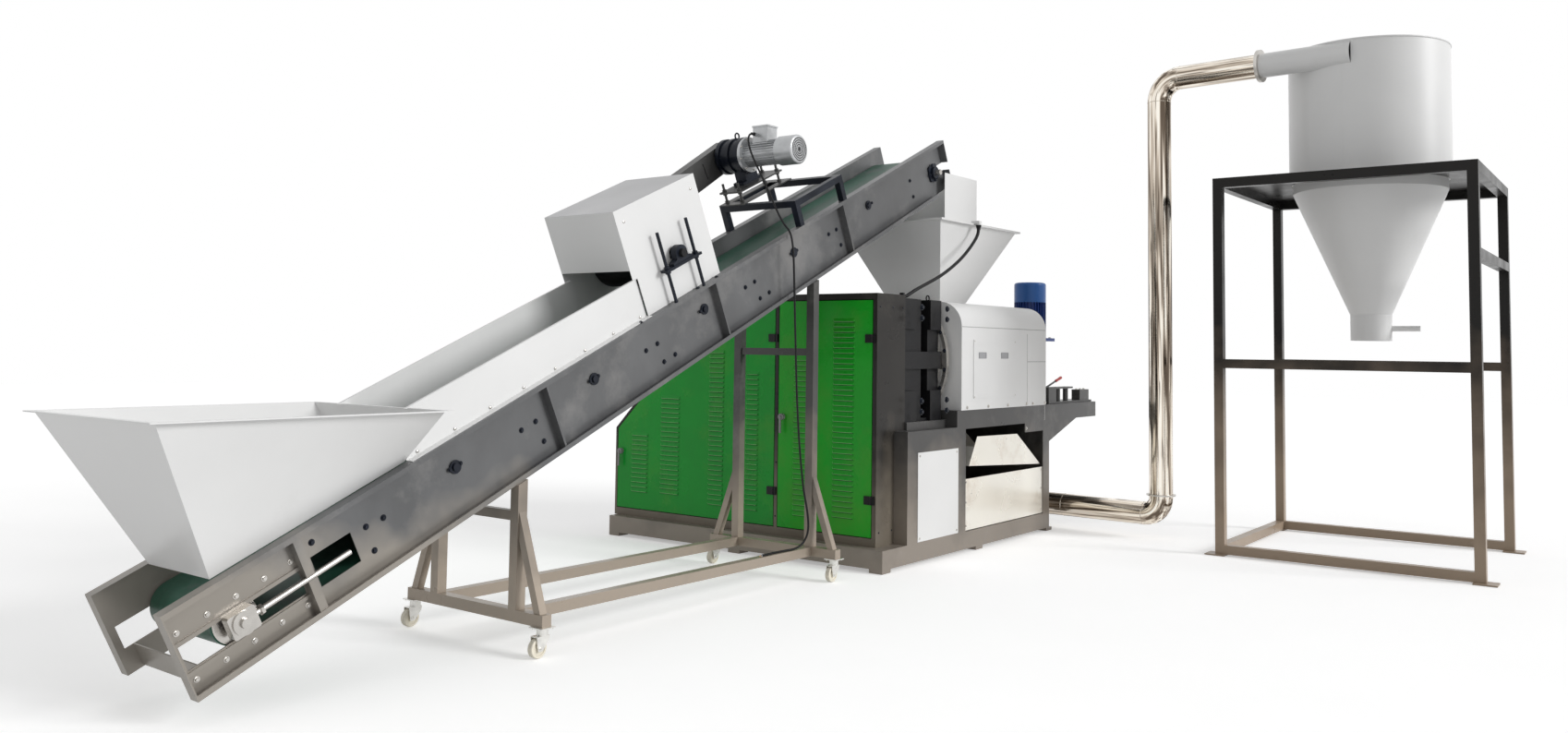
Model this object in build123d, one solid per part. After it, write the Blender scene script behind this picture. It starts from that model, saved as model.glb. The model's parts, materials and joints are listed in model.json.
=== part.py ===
from build123d import *
import math
import os

os.makedirs("parts", exist_ok=True)

# All sizes are in millimetres. X runs the way the belt travels, Y across it, Z up.
# Plan values count from the near left corner of the dryer's plinth.

# Conveyor: inclined frame
centre_y = 649.0
belt_angle = 24.5
frame_start_x = -4749.0
frame_start_z = 473.0
frame_length = 6728.0
frame_height = 400.0
web_half = 272.0
web_t = 6.0
flange_reach = 55.0
lip_h = 25.0
lower_flange_short = 254.0
joint_share = (0.318, 0.5395, 0.766)
joint_plate_t = 12.0
run_gap = 10.0

# Conveyor: drums, rollers and belt
drum_r = 100.0
drum_depth = frame_height / 2 + 15
tail_s = 280.0
head_s = frame_length - 188
drum_shaft_r = 22.0
shaft_past = 25.0
belt_t = 6.0
belt_lift = 0.6
belt_margin = 4.0
roller_r = 38.0
roller_shaft_r = 10.0
roller_first_s = 1490.0
roller_count = 5
roller_pitch = (head_s - roller_first_s) / roller_count
roller_gap = 1.0
shaft_slot_back = 40.0
fit_gap = 0.3
bore_gap = 0.5
overcut = 1.0
nut_ratio = 1.8
cowl_round = 0.16
corner_share = 0.45

# Conveyor: bearings on the webs
roller_flange_r = 34.0
roller_flange_t = 8.0
roller_hub_r = 20.0
roller_hub_t = 18.0
head_flange = 130.0
head_flange_t = 14.0
head_hub_r = 48.0
head_hub_t = 37.0

# Conveyor: windows and the belt tensioner
window_s = (32.0, 590.0)
window_half = 55.0
window_drop = 15.0
rear_window_s = (660.0, 872.0)
rear_window_depth = (150.0, 300.0)
rail_h = 16.0
rail_t = 12.0
rail_gap = 6.0
rail_start = 8.0
block_half = (62.0, 52.0)
block_t = 46.0
block_ring_r = 52.0
block_ring_out = 8.0
screw_r = 14.0
screw_end_s = 820.0
screw_nut_s = 363.0
bracket_s = (592.0, 632.0)
bracket_out = 48.0

# Plate across the low end
tail_plate_s = 70.0
tail_plate_t = 6.0
tail_plate_depth = (285.0, 390.0)

# Infeed hopper on the low end
rim_z = 1245.0
rim_x = (-4900.0, -3590.0)
rim_half = 542.0
rim_lip = 30.0
rim_t = 5.0
hopper_low_s = (250.0, 1255.0)
hopper_mouth_half = 262.0
sheet_t = 3.0

# Skirt boards and drum cover
skirt_h = 238.0
skirt_s = (1262.0, 3030.0)
skirt_foot = 45.0
skirt_lip = 14.0
skirt_spread = 90.0
cover_s = (2990.0, 3732.0)
cover_h = 655.0
cover_half = 286.0
cover_mouth_h = 297.0
press_drum_r = 190.0
press_drum_s = 3375.0
press_drum_h = 265.0
press_shaft_r = 25.0
press_drum_half = 225.0
shaft_hole_gap = 12.0

# Bearings of the press drum: pillow block on a beam between two studs
pillow_out = 45.0
pillow_r = 50.0
pillow_foot = 92.0
pillow_t = 44.0
pillow_base_t = 14.0
pillow_drop = 60.0
beam_half = 165.0
beam_w = 56.0
beam_t = 16.0
adjuster_r = 10.0
adjuster_s = 135.0
adjuster_top = 175.0
nut_t = 14.0

# Belt drive frame
drive_ahead = 1225.0
drive_length = 605.0
drive_s = (press_drum_s + drive_ahead, press_drum_s + drive_ahead + drive_length)
drive_h = 185.0
drive_tube = 45.0
channel_across = (110.0, 333.0)
channel_t = 8.0
channel_border = (70.0, 65.0)
stud_r = 9.0
stud_inset = (70.0, 65.0)
stud_s = (drive_s[0] + stud_inset[0], drive_s[1] - stud_inset[1])
stud_across = (175.0, 310.0)
stud_top = 330.0
stud_border = (30.0, 25.0)
motor_plate_h = (262.0, 274.0)

# Belt drive: gearbox, motor and chain guard
motor_ahead = 1539.7
motor_s = press_drum_s + motor_ahead
motor_h = 465.8
gear_r = 128.0
gear_rib = 12.0
gear_rib_w = 32.0
gear_y = (870.0, 1070.0)
gear_foot_half = (110.0, 70.0)
gear_foot_h = (18.0, 110.0)
output_boss_r = 60.0
motor_r = 78.0
motor_fin = 12.0
motor_fin_t = 4.0
motor_fins = 28
motor_y = (430.0, 868.0)
cowl_r = 103.0
cowl_y = (409.0, 560.0)
mount_flange_r = 125.0
mount_flange_t = 24.0
junction_y = (650.0, 780.0)
junction_half = 55.0
junction_top = 190.047
junction_lid = 12.0
junction_lip = 5.0
eye_r = 22.0
eye_wire = 6.0
guard_y = (1084.0, 1164.0)
guard_w = 200.0
guard_wall = 3.0
guard_corner = 0.45

# Motor cable
cable_r = 7.0
cable_gap = 0.4
gland_r = 13.0
gland_length = 22.0
gland_below = 63.5
gland_in = 30.0
gland_run = 35.0

# Castor trestle
castor_h = 150.0
tube = 60.0
front_x = -2955.0
rear_x = -400.0
track_half = 520.0
post_half = 320.0
front_brace_top_z = 705.0
rear_brace_top_z = 690.0
front_tie_z = 680.0
rear_tie_z = 1530.0
tie_w = 40.0
tie_h = 50.0
brace_w = 45.0
brace_in = (10.0, 25.0, 5.0)

# Castors
wheel_r = 50.0
wheel_w = 34.0
wheel_trail = 32.0
hub_r = 18.0
hub_dish = 4.0
axle_r = 5.0
axle_gap = 0.6
axle_past = 4.0
axle_pad = 14.0
fork_front = 22.0
fork_back = 26.0
cheek_drop = (25.0, 18.0)
fork_t = 4.0
fork_gap = 5.0
head_r = 30.0
swivel_gap = 0.5
plate_half = 48.0
plate_t = 6.0

# Dryer: plinth
plinth_x = 2710.0
foot_reach = 53.0
plinth_y = 2660.0
plinth_z = (27.0, 160.0)
foot_w = 110.0
middle_foot_x = 1363.0

# Dryer: cabinet and doors
cab_x = (88.0, 470.0)
cab_y = (114.0, 2690.0)
cab_top = 1957.0
cab_wall = 5.0
chamfer_start = 877.0
corner_inset = 36.0
door_z = (225.0, 1906.0)
right_door_y = (154.0, 985.0)
left_door_y = (1026.0, 2662.0)
door_t = 20.0
door_skin = 2.0
door_gap = 6.0
door_proud = 1.0
knuckle_r = 8.0
knuckle_h = 30.0
hinge_pin_r = 4.0
pin_gap = 0.4
leaf_t = 10.0
leaf_reach = 56.0
fixed_leaf_reach = 26.0
hinge_z = (486.0, 1631.0)
handle_in = 40.0
handle_base_r = 24.0
handle_out = 30.0
handle_lever = (16.0, 9.0, 120.0)
right_handle_z = 1042.0
left_handle_z = 685.0

# Pressed louvres in the doors
louvre_h = 26.0
louvre_out = 9.0
louvre_nose = 7.0
louvre_pitch = 38.0
louvre_banks = {
    "right": (
        ((303.0, 489.0), (345.0, 1782.0)),
        ((717.0, 844.0), (324.0, 1500.0)),
    ),
    "left": (
        ((1174.0, 1298.0), (324.0, 1392.0)),
        ((1517.0, 1672.0), (331.0, 1543.0)),
        ((1977.0, 2182.0), (375.0, 1154.0)),
        ((2319.0, 2506.0), (365.0, 847.0)),
    ),
}

# Main motor behind the cabinet, its pulleys and belts inside it
main_y = 1960.0
main_z = 315.0
main_r = 235.0
main_fin = 30.0
main_fin_t = 7.0
main_fins = 36
main_x = (560.0, 1420.0)
main_cowl = 270.0
main_foot_half = (320.0, 270.0)
main_foot_t = 36.0
main_saddle_half = (280.0, 170.0)
main_box_half = (130.0, 110.0)
main_box_h = 110.0
main_shaft_r = 40.0
pulley_x = (236.0, 396.0)
small_pulley_r = 140.0
large_pulley_r = 400.0
pulley_z = 1478.0
groove_count = 5
groove_depth = 10.0
groove_w = 14.0
belt_rise = 2.0
pulley_web_t = 40.0
pulley_rim_t = 40.0
pulley_hub_r = 95.0
pulley_window_r = 80.0
pulley_windows = 5

# Dryer: gear housing
house_x = (474.0, 1016.0)
house_face = 150.0
house_boss = 122.0
house_z = (1022.0, 1936.0)
boss_h = 226.0
boss_x = 649.0
slot_x = (756.0, 852.0)
slot_depth = 60.0
slot_rise = 20.0
web_z = (1413.0, 1542.0)
house_foot_y = 96.0
hose_clip_x = (466.0, 495.0)
hose_clip_y = (136.0, 168.0)

# Round flange between housing and hood
ring_x = (1020.0, 1062.0)
ring_r = 573.0
ring_z = 1478.0
ring_window_r = (500.0, 545.0)
ring_windows = 12
ring_window_arc = 15.0
ring_below = 2.0

# Dryer: pedestal and table
ped_x = (327.0, 2710.0)
ped_top = 965.0
ped_y = 1298.0
table_x = (1055.0, 3743.0)
table_z = (955.0, 1092.0)
open_x = (1193.0, 2586.0)
open_z = (160.0, 948.0)
notch = (2232.0, 872.0)
ped_wall = 8.0
panel_x = (470.0, 1070.0)
panel_z = (165.0, 808.0)
panel_t = 3.0
drain_x = (1170.0, 2640.0)
drain_z = (165.0, 560.0)
drain_t = 3.7
gusset_x = (2618.0, 3292.0)
gusset_z = 773.0
gusset_t = 8.0

# Drain trough inside the pedestal's opening
trough_top_x = (1422.0, 2127.0)
trough_top_z = (877.0, 864.0)
trough_low_x = (1286.0, 2570.0)
trough_low_z = (655.0, 585.0)
trough_y = (22.0, 520.0)
trough_t = 3.0

# Dryer: hood, feed hopper and chute
hood_x = (1121.0, 2642.0)
hood_half = 649.0
hood_top = 1935.0
hood_bend = 195.0
hood_t = 4.0
hatch_x = (1310.0, 2040.0)
hatch_z = (1180.0, 1643.0)
hatch_t = 6.0
hatch_step = 37.0
hatch_sink = 3.0
latch_x = (1394.0, 1780.0)
latch_z = 1494.0
latch_size = (128.0, 48.0)
latch_wall = 6.0
paddle_in = 9.0
neck_x = (1504.0, 1914.0)
neck_half = 236.0
feed_x = (1079.0, 2401.0)
feed_half = 479.0
feed_rim_z = 2590.0
feed_lip = 28.0
feed_rim_t = 12.0
chute_x = (1383.0, 1928.0)
chute_half = 345.0
chute_top = 2998.0

# Hose from the feed chute down to the gear housing
hose_r = 13.0
hose_run = 42.0
hose_x = 1604.0
hose_out = 28.0
hose_below = 12.0
spigot_wall = 4.0
spigot_block = (21.0, 17.0, 22.0)

# Cutter on the table's end: motor, housing and slide
cutter_x = 3505.0
cutter_y = 560.0
cutter_r = 128.0
cutter_fin = 22.0
cutter_fin_t = 6.0
cutter_fins = 32
cutter_top = 2215.0
cutter_cowl = 190.0
cutter_flange_z = 1655.0
cutter_flange = (175.0, 30.0)
cutter_case = (200.0, 20.0, 130.0, 180.0)
slide_y = (40.0, 240.0)
slide_x = (2950.0, 3740.0)
slide_t = 17.0
slide_block_x = (2790.0, 2950.0)
slide_block_z = 1240.0
slide_plate_x = (2950.0, 3335.0)
slide_plate_z = (1222.0, 1238.0)
slide_post_r = 24.0
slide_post_shares = (0.35, 0.8)
slide_end_x = (3490.0, 3700.0)
slide_end_z = 1206.0
slide_end_y = (50.0, 130.0)
lever_tip = (3150.0, 1318.0)
lever_w = 12.0

# Blower pipe
pipe_r = 97.0
pipe_wall = 2.5
pipe_bend = 190.0
lower_bend = 140.0
pipe_z = 205.0
pipe_start_y = 300.0
pipe_x = 2954.0
riser_x = 2880.0
riser_y = -930.0
joint_z = 370.0
flange_out = 22.0
flange_t = 8.0
clamp_t = (12.0, 24.0)
clamp_out = 12.0

# Silo and its stand
stand_x = (2409.0, 4203.0)
stand_y = (-3339.0, -1518.0)
stand_top = 2930.0
stand_tube = 70.0
mid_bar_z = 1445.0
upper_bar_z = 2250.0
silo_x = 3306.0
silo_y = -2475.0
silo_r = 587.0
silo_top = 3985.0
silo_wall = 4.0
silo_rim = 7.0
inlet_drop = 105.0
inlet_z = silo_top - inlet_drop
inlet_y = -1780.0
inlet_in = 2.0
lid_drop = 14.0
lid_t = 6.0
cone_top_r = 560.0
cone_low_r = 150.0
cone_low_z = 1880.0
cone_top_z = 2855.0
cone_flange_t = 8.0
cone_flange_out = 26.0
spout_z = 1675.0
gate_rod_z = 1771.0
gate_rod_r = 22.0
gate_rod_out = 200.0
deck_t = 5.0
deck_gap = 8.0

# The middle of the whole plan stands on the origin
foot_plate = 150.0
foot_plate_t = 10.0
foot_out = (40.0, 70.0)
foot_out_far = 10.0
plan_x = (rim_x[0] - rim_lip + stand_x[1] - stand_tube - foot_out[0] + foot_plate) / 2
plan_y = (stand_y[0] - foot_out[1] + cab_y[1]) / 2

parts = {}


# Helpers for blocks, bars, nuts and sheet profiles
def box(x, y, z):
    """A block between two values on each axis."""
    size = (x[1] - x[0], y[1] - y[0], z[1] - z[0])
    middle = ((x[0] + x[1]) / 2, (y[0] + y[1]) / 2, (z[0] + z[1]) / 2)
    return Pos(*middle) * Box(*size)


def rod_x(y, z, r, x):
    """A round bar along X."""
    return Pos((x[0] + x[1]) / 2, y, z) * Rot(0, 90, 0) * Cylinder(r, x[1] - x[0])


def rod_y(x, z, r, y):
    """A round bar along Y."""
    return Pos(x, (y[0] + y[1]) / 2, z) * Rot(90, 0, 0) * Cylinder(r, y[1] - y[0])


def rod_z(x, y, r, z):
    """A round bar along Z."""
    return Pos(x, y, (z[0] + z[1]) / 2) * Cylinder(r, z[1] - z[0])


def bar(start, end, w):
    """A square bar between two points."""
    line = Line(start, end)
    sketch = Plane(origin=start, z_dir=line % 0, x_dir=(1, 0, 0)) * Rectangle(w, w)
    return extrude(sketch, amount=line.length)


def hex_nut(r, t):
    """A nut for a stud of radius r, flat on the XY plane."""
    return extrude(RegularPolygon(nut_ratio * r, 6), amount=t)


def slab_x(face, x):
    """A face drawn in (y, z), as a slab between two x values."""
    plane = Plane((x[0], 0, 0), x_dir=(0, 1, 0), z_dir=(1, 0, 0))
    return extrude(plane * face, amount=x[1] - x[0])


def slab_y(face, y):
    """A face drawn in (x, z), as a slab between two y values."""
    plane = Plane((0, y[1], 0), x_dir=(1, 0, 0), z_dir=(0, -1, 0))
    return extrude(plane * face, amount=y[1] - y[0])


def outline_face(*points):
    """A flat face inside straight edges."""
    return make_face(Polyline(*points, close=True))


def mirror_y(shape):
    """The twin of a shape across the conveyor's middle, in its own frame."""
    return mirror(shape, about=Plane.XZ)


def finned_motor(r, fin, fin_t, count, length, cowl, cowl_r, flange_r, flange_t):
    """A motor along Z from its flange at zero: finned body, fan cowl with a domed shoulder."""
    section = Circle(r)
    blade = Pos(r + (fin - overcut) / 2, 0) * Rectangle(fin + overcut, fin_t)
    section += [Rot(0, 0, i * 360 / count) * blade for i in range(count)]
    body = extrude(section, amount=length - cowl)
    body += Cylinder(flange_r, flange_t, align=(Align.CENTER, Align.CENTER, Align.MIN))
    shoulder = Cylinder(cowl_r, cowl, align=(Align.CENTER, Align.CENTER, Align.MIN))
    shoulder = fillet(shoulder.edges().group_by(Axis.Z)[-1], cowl_r * cowl_round)
    return body + Pos(0, 0, length - cowl) * shoulder


# Frame of the inclined conveyor: length along it, across, and height over its top line
angle = math.radians(belt_angle)
incline = Plane(
    origin=(frame_start_x, centre_y, frame_start_z),
    x_dir=(math.cos(angle), 0, math.sin(angle)),
    z_dir=(-math.sin(angle), 0, math.cos(angle)),
).location
web_out = web_half + web_t
flange_tip = web_out + flange_reach


def on_incline(s, h):
    """Plan x and height of a point at length s and height h on the conveyor."""
    x = frame_start_x + s * math.cos(angle) - h * math.sin(angle)
    z = frame_start_z + s * math.sin(angle) + h * math.cos(angle)
    return x, z


def both_sides(shape):
    """A shape on the near side with its twin on the far side."""
    return shape + mirror_y(shape)


# Side frames: channels with lips turned outward, joint plates and windows
def channel_profile():
    """Section of the near channel: web, two flanges and their lips."""
    t = web_t
    tip = flange_tip
    low = -frame_height
    return outline_face(
        (-web_half, 0),
        (-tip, 0),
        (-tip, -lip_h),
        (-tip + t, -lip_h),
        (-tip + t, -t),
        (-web_out, -t),
        (-web_out, low + t),
        (-tip + t, low + t),
        (-tip + t, low + lip_h),
        (-tip, low + lip_h),
        (-tip, low),
        (-web_half, low),
    )


def side_frame():
    """The near side frame with end plates, joint plates, windows and the head shaft's slot."""
    t = web_t
    low = -frame_height
    inside_y = (-flange_tip + t, -web_out)
    frame = extrude(Plane.YZ * channel_profile(), amount=frame_length)
    for s in (0, frame_length - t):
        frame += box((s, s + t), (-flange_tip, -web_out), (low, 0))
    for share in joint_share:
        s = share * frame_length
        frame += box((s - joint_plate_t / 2, s + joint_plate_t / 2), inside_y, (low + t, -t))
    past_end = frame_length + overcut
    flange_y = (-flange_tip - overcut, -web_out)
    web_y = (-flange_tip - overcut, -web_half + overcut)
    frame -= box((frame_length - lower_flange_short, past_end), flange_y, (low - overcut, low + lip_h))
    middle = -drum_depth - window_drop
    frame -= box(window_s, web_y, (middle - window_half, middle + window_half))
    frame -= box(rear_window_s, web_y, (-rear_window_depth[1], -rear_window_depth[0]))
    half_slot = drum_shaft_r + run_gap
    shaft_slot = box((head_s - shaft_slot_back, past_end), web_y, (-half_slot, half_slot))
    frame -= Pos(0, 0, -drum_depth) * shaft_slot
    return frame


parts["side_frame_near"] = incline * side_frame()
parts["side_frame_far"] = incline * mirror_y(side_frame())


# Drums at both ends, the belt loop round them and the rollers that carry it
def drum(s):
    """A drum with its shaft."""
    body = rod_y(0, 0, drum_r, (-web_half + run_gap, web_half - run_gap))
    body += rod_y(0, 0, drum_shaft_r, (-flange_tip - shaft_past, flange_tip + shaft_past))
    return incline * Pos(s, 0, -drum_depth) * body


parts["tail_drum"] = drum(tail_s)
parts["head_drum"] = drum(head_s)
belt_half = web_half - run_gap - belt_margin
inner_r = drum_r + belt_lift
loop_length = head_s - tail_s
loop_at = Pos((tail_s + head_s) / 2, 0, -drum_depth) * Rot(90, 0, 0)
loop = SlotCenterToCenter(loop_length, 2 * (inner_r + belt_t))
loop -= SlotCenterToCenter(loop_length, 2 * inner_r)
parts["conveyor_belt"] = incline * extrude(loop_at * loop, amount=belt_half, both=True)


def roller_row(shape):
    """The same shape at each roller's shaft."""
    depth = drum_depth - inner_r + roller_gap + roller_r
    places = [Pos(roller_first_s + i * roller_pitch, 0, -depth) for i in range(roller_count)]
    return [place * shape for place in places]


roller = rod_y(0, 0, roller_r, (-web_half + run_gap, web_half - run_gap))
roller += rod_y(0, 0, roller_shaft_r, (-web_half, web_half))
parts["carry_rollers"] = incline * (Part() + roller_row(roller))


# Bearings on the outside of the webs
def web_bearing(flange, hub_r, hub_t):
    """A flange against the near web with a round hub on it."""
    face = -web_out - fit_gap
    return flange + rod_y(0, 0, hub_r, (face - hub_t, face))


face = -web_out - fit_gap
roller_flange = rod_y(0, 0, roller_flange_r, (face - roller_flange_t, face))
roller_bearing = web_bearing(roller_flange, roller_hub_r, roller_hub_t)
head_square = Pos(0, face - head_flange_t / 2, 0) * Box(head_flange, head_flange_t, head_flange)
head_square = fillet(head_square.edges().filter_by(Axis.Y), head_flange / 5)
head_bearing = web_bearing(head_square, head_hub_r, head_hub_t)
head_bearing -= rod_y(0, 0, drum_shaft_r + bore_gap, (-flange_tip - 2 * shaft_past, 0))
bearings = Part() + roller_row(roller_bearing)
bearings += Pos(head_s, 0, -drum_depth) * head_bearing
parts["conveyor_bearings"] = incline * both_sides(bearings)


# Belt tensioner on each side: rails, bearing block, screw and end bracket
def rail(h):
    """One rail along the near web at height h."""
    return box((rail_start, bracket_s[0]), (-web_out - rail_t, -web_out), (h - rail_h / 2, h + rail_h / 2))


screw_y = -(web_out + rail_t + block_t / 2 + fit_gap)
rail_reach = window_half + rail_gap + rail_h / 2
window_mid = -drum_depth - window_drop
rails = rail(window_mid + rail_reach) + rail(window_mid - rail_reach)
rails += box(bracket_s, (-web_out - bracket_out, -web_out), (-frame_height + web_t, -web_t))
rails -= rod_x(screw_y, -drum_depth, screw_r + overcut, (0, screw_end_s))
parts["tensioner_rails"] = incline * both_sides(rails)
block = Pos(tail_s, screw_y, -drum_depth) * Box(2 * block_half[0], block_t, 2 * block_half[1])
block = fillet(block.edges().filter_by(Axis.Y), block_half[1] / 5)
block += rod_y(tail_s, -drum_depth, block_ring_r, (screw_y - block_t / 2 - block_ring_out, screw_y))
block += rod_x(screw_y, -drum_depth, screw_r, (tail_s, screw_end_s))
block += Pos(screw_nut_s, screw_y, -drum_depth) * Rot(0, 90, 0) * hex_nut(screw_r, nut_t)
block -= rod_y(tail_s, -drum_depth, drum_shaft_r + bore_gap, (-flange_tip - 2 * shaft_past, 0))
parts["tension_blocks"] = incline * both_sides(block)

# Plate between the side frames at the low end
parts["tail_plate"] = incline * box(
    (tail_plate_s, tail_plate_s + tail_plate_t),
    (-web_half, web_half),
    (-tail_plate_depth[1], -tail_plate_depth[0]),
)


# Hoppers of folded sheet
def rect_face(x, y, ends_z):
    """A rectangle seen from above whose low-x and high-x ends may lie at two heights."""
    left, right = ends_z
    return outline_face((x[0], y[0], left), (x[1], y[0], right), (x[1], y[1], right), (x[0], y[1], left))


def shrink(span, t):
    """A range made smaller by t at both ends."""
    return span[0] + t, span[1] - t


def hopper_shell(top, low, t):
    """An open hopper of sheet between a top and a low rectangle."""
    (tx, ty, tz), (lx, ly, lz) = top, low
    outer = loft([rect_face(*low), rect_face(*top)])
    up = rect_face(shrink(tx, t), shrink(ty, t), (tz[0] + overcut, tz[1] + overcut))
    down = rect_face(shrink(lx, t), shrink(ly, t), (lz[0] - overcut, lz[1] - overcut))
    return outer - loft([down, up])


def rim(x, y, z, lip, t):
    """A flat rim folded outward round the top of a hopper."""
    outer = box(shrink(x, -lip), shrink(y, -lip), (z - t, z))
    return outer - box(shrink(x, sheet_t), shrink(y, sheet_t), (z - t - overcut, z + overcut))


# Infeed hopper, its mouth cut along the belt's slope
low_x0, low_z0 = on_incline(hopper_low_s[0], 1.0)
low_x1, low_z1 = on_incline(hopper_low_s[1], 1.0)
low_y = (centre_y - hopper_mouth_half, centre_y + hopper_mouth_half)
rim_y = (centre_y - rim_half, centre_y + rim_half)
infeed_top = (rim_x, rim_y, (rim_z, rim_z))
infeed = hopper_shell(infeed_top, ((low_x0, low_x1), low_y, (low_z0, low_z1)), sheet_t)
parts["infeed_hopper"] = infeed + rim(rim_x, rim_y, rim_z, rim_lip, rim_t)


# Skirt boards with a bolted foot and a folded top lip, cut to the hopper's end wall
def skirt():
    """The near board with its foot on the side frame."""
    wall = box(skirt_s, (-web_half, -web_half + sheet_t), (fit_gap, skirt_h))
    wall += box(skirt_s, (-web_half - skirt_foot, -web_half), (fit_gap, fit_gap + sheet_t))
    wall += box(skirt_s, (-web_half - skirt_lip, -web_half), (skirt_h - sheet_t, skirt_h))
    return wall


hopper_end = loft([
    rect_face(
        (low_x0, low_x1 + overcut),
        shrink(low_y, -skirt_spread),
        (low_z0 - overcut, low_z1 - overcut),
    ),
    rect_face((rim_x[0], rim_x[1] + overcut), rim_y, (rim_z, rim_z)),
])
lip_room = box(
    (rim_x[1] - rim_lip, rim_x[1] + rim_lip + bore_gap),
    rim_y,
    (rim_z - rim_t - bore_gap, rim_z + bore_gap),
)
parts["skirt_boards"] = incline * both_sides(skirt()) - hopper_end - lip_room


# Cover over the press drum: an open-ended box of sheet with a slot for the shaft
def drum_cover():
    """The cover in the conveyor's frame."""
    inside_y = shrink((-cover_half, cover_half), sheet_t)
    cover = box(cover_s, (-cover_half, cover_half), (fit_gap, cover_h))
    cover -= box((cover_s[0] - overcut, cover_s[1] + overcut), inside_y, (-overcut, cover_mouth_h))
    cover -= box(shrink(cover_s, sheet_t), inside_y, (-overcut, cover_h - sheet_t))
    slot_r = press_shaft_r + shaft_hole_gap
    across = (-cover_half - overcut, cover_half + overcut)
    cover -= rod_y(press_drum_s, press_drum_h, slot_r, across)
    cover -= box((press_drum_s - slot_r, press_drum_s + slot_r), across, (skirt_h, press_drum_h))
    over_skirt = (skirt_s[0], skirt_s[1] + overcut)
    cover -= box(over_skirt, across, (-overcut, skirt_h + overcut))
    return cover


parts["drum_cover"] = incline * drum_cover()
shaft_far = guard_y[1] - guard_wall - 2 * run_gap - centre_y
press = rod_y(0, 0, press_drum_r, (-press_drum_half, press_drum_half))
press += rod_y(0, 0, press_shaft_r, (-cover_half - 2 * pillow_out, shaft_far))
parts["press_drum"] = incline * Pos(press_drum_s, 0, press_drum_h) * press


# Pillow blocks of the press drum, each on a beam between two adjusting studs
def pillow_block():
    """The near bearing with its beam, studs and nuts, round the drum's axis."""
    y = -(cover_half + pillow_out)
    span = (y - pillow_t / 2, y + pillow_t / 2)
    foot_z = -pillow_drop + beam_t / 2
    shoulder = outline_face(
        (-pillow_foot, foot_z),
        (pillow_foot, foot_z),
        (pillow_foot, foot_z + pillow_base_t),
        (pillow_r, foot_z + 2 * pillow_base_t),
        (pillow_r, 0),
        (-pillow_r, 0),
        (-pillow_r, foot_z + 2 * pillow_base_t),
        (-pillow_foot, foot_z + pillow_base_t),
    )
    stand = slab_y(shoulder + Circle(pillow_r), span)
    stand += Pos(0, y, -pillow_drop) * Box(2 * beam_half, beam_w, beam_t)
    for s in (-adjuster_s, adjuster_s):
        stand += rod_z(s, y, adjuster_r, (-press_drum_h + fit_gap, adjuster_top))
        stand += Pos(s, y, foot_z) * hex_nut(adjuster_r, nut_t)
        stand += Pos(s, y, foot_z - beam_t - nut_t) * hex_nut(adjuster_r, nut_t)
    return stand - rod_y(0, 0, press_shaft_r + bore_gap, (span[0] - overcut, span[1] + overcut))


parts["drum_bearings"] = incline * Pos(press_drum_s, 0, press_drum_h) * both_sides(pillow_block())


# Belt drive: a table of square tube over the belt
def drive_frame():
    """Four legs on the side frames with a ring of tube on top."""
    leg_y = flange_tip - drive_tube / 2
    top = (drive_h - drive_tube, drive_h)
    frame = Part()
    for s in (drive_s[0], drive_s[1] - drive_tube):
        for y in (-flange_tip, flange_tip - drive_tube):
            frame += box((s, s + drive_tube), (y, y + drive_tube), (0, drive_h))
        frame += box((s, s + drive_tube), (-leg_y, leg_y), top)
    for y in (-flange_tip, flange_tip - drive_tube):
        frame += box(drive_s, (y, y + drive_tube), top)
    return frame


parts["drive_frame"] = incline * drive_frame()


# Motor plate on four studs, over a channel along the drive frame
def motor_mount():
    """The slotted channel, the studs with their nuts and the plate they carry."""
    channel_h = (drive_h, drive_h + channel_t)
    mount = box(drive_s, channel_across, channel_h)
    mount -= box(
        (drive_s[0] + channel_border[0], drive_s[1] - channel_border[0]),
        (channel_across[0] + channel_border[1], channel_across[1] - channel_border[1]),
        (drive_h - overcut, channel_h[1] + overcut),
    )
    mount += box(shrink(stud_s, -stud_border[0]), shrink(stud_across, -stud_border[1]), motor_plate_h)
    for s in stud_s:
        for y in stud_across:
            mount += rod_z(s, y, stud_r, (channel_h[1], stud_top))
            for h in (channel_h[1], motor_plate_h[0] - nut_t, motor_plate_h[1]):
                mount += Pos(s, y, h) * hex_nut(stud_r, nut_t)
    return mount


parts["motor_mount"] = incline * motor_mount()


# Gearbox: round case with three ribs, a foot on the motor plate and an output boss
motor_axis_x, motor_axis_z = on_incline(motor_s, motor_h)


def lifting_eye(x, y, z):
    """A ring to lift by, standing on a face at z."""
    return Pos(x, y, z + eye_r) * Rot(90, 0, 0) * Torus(eye_r, eye_wire)


def gearbox():
    """The gear case round the motor's axis."""
    case = rod_y(motor_axis_x, motor_axis_z, gear_r - gear_rib, gear_y)
    half = gear_rib_w / 2
    for y in (gear_y[0] + half, (gear_y[0] + gear_y[1]) / 2, gear_y[1] - half):
        case += rod_y(motor_axis_x, motor_axis_z, gear_r, (y - half, y + half))
    across = (gear_y[0] + run_gap - centre_y, stud_across[1] + channel_border[1] / 4)
    for reach, rise in zip(gear_foot_half, gear_foot_h):
        foot = box((motor_s - reach, motor_s + reach), across, (motor_plate_h[1], motor_plate_h[1] + rise))
        case += incline * foot
    case += rod_y(motor_axis_x, motor_axis_z, output_boss_r, (gear_y[1] - overcut, guard_y[0]))
    middle = (gear_y[0] + gear_y[1]) / 2
    return case + lifting_eye(motor_axis_x, middle, motor_axis_z + gear_r - eye_wire)


parts["drive_gearbox"] = gearbox()


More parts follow.
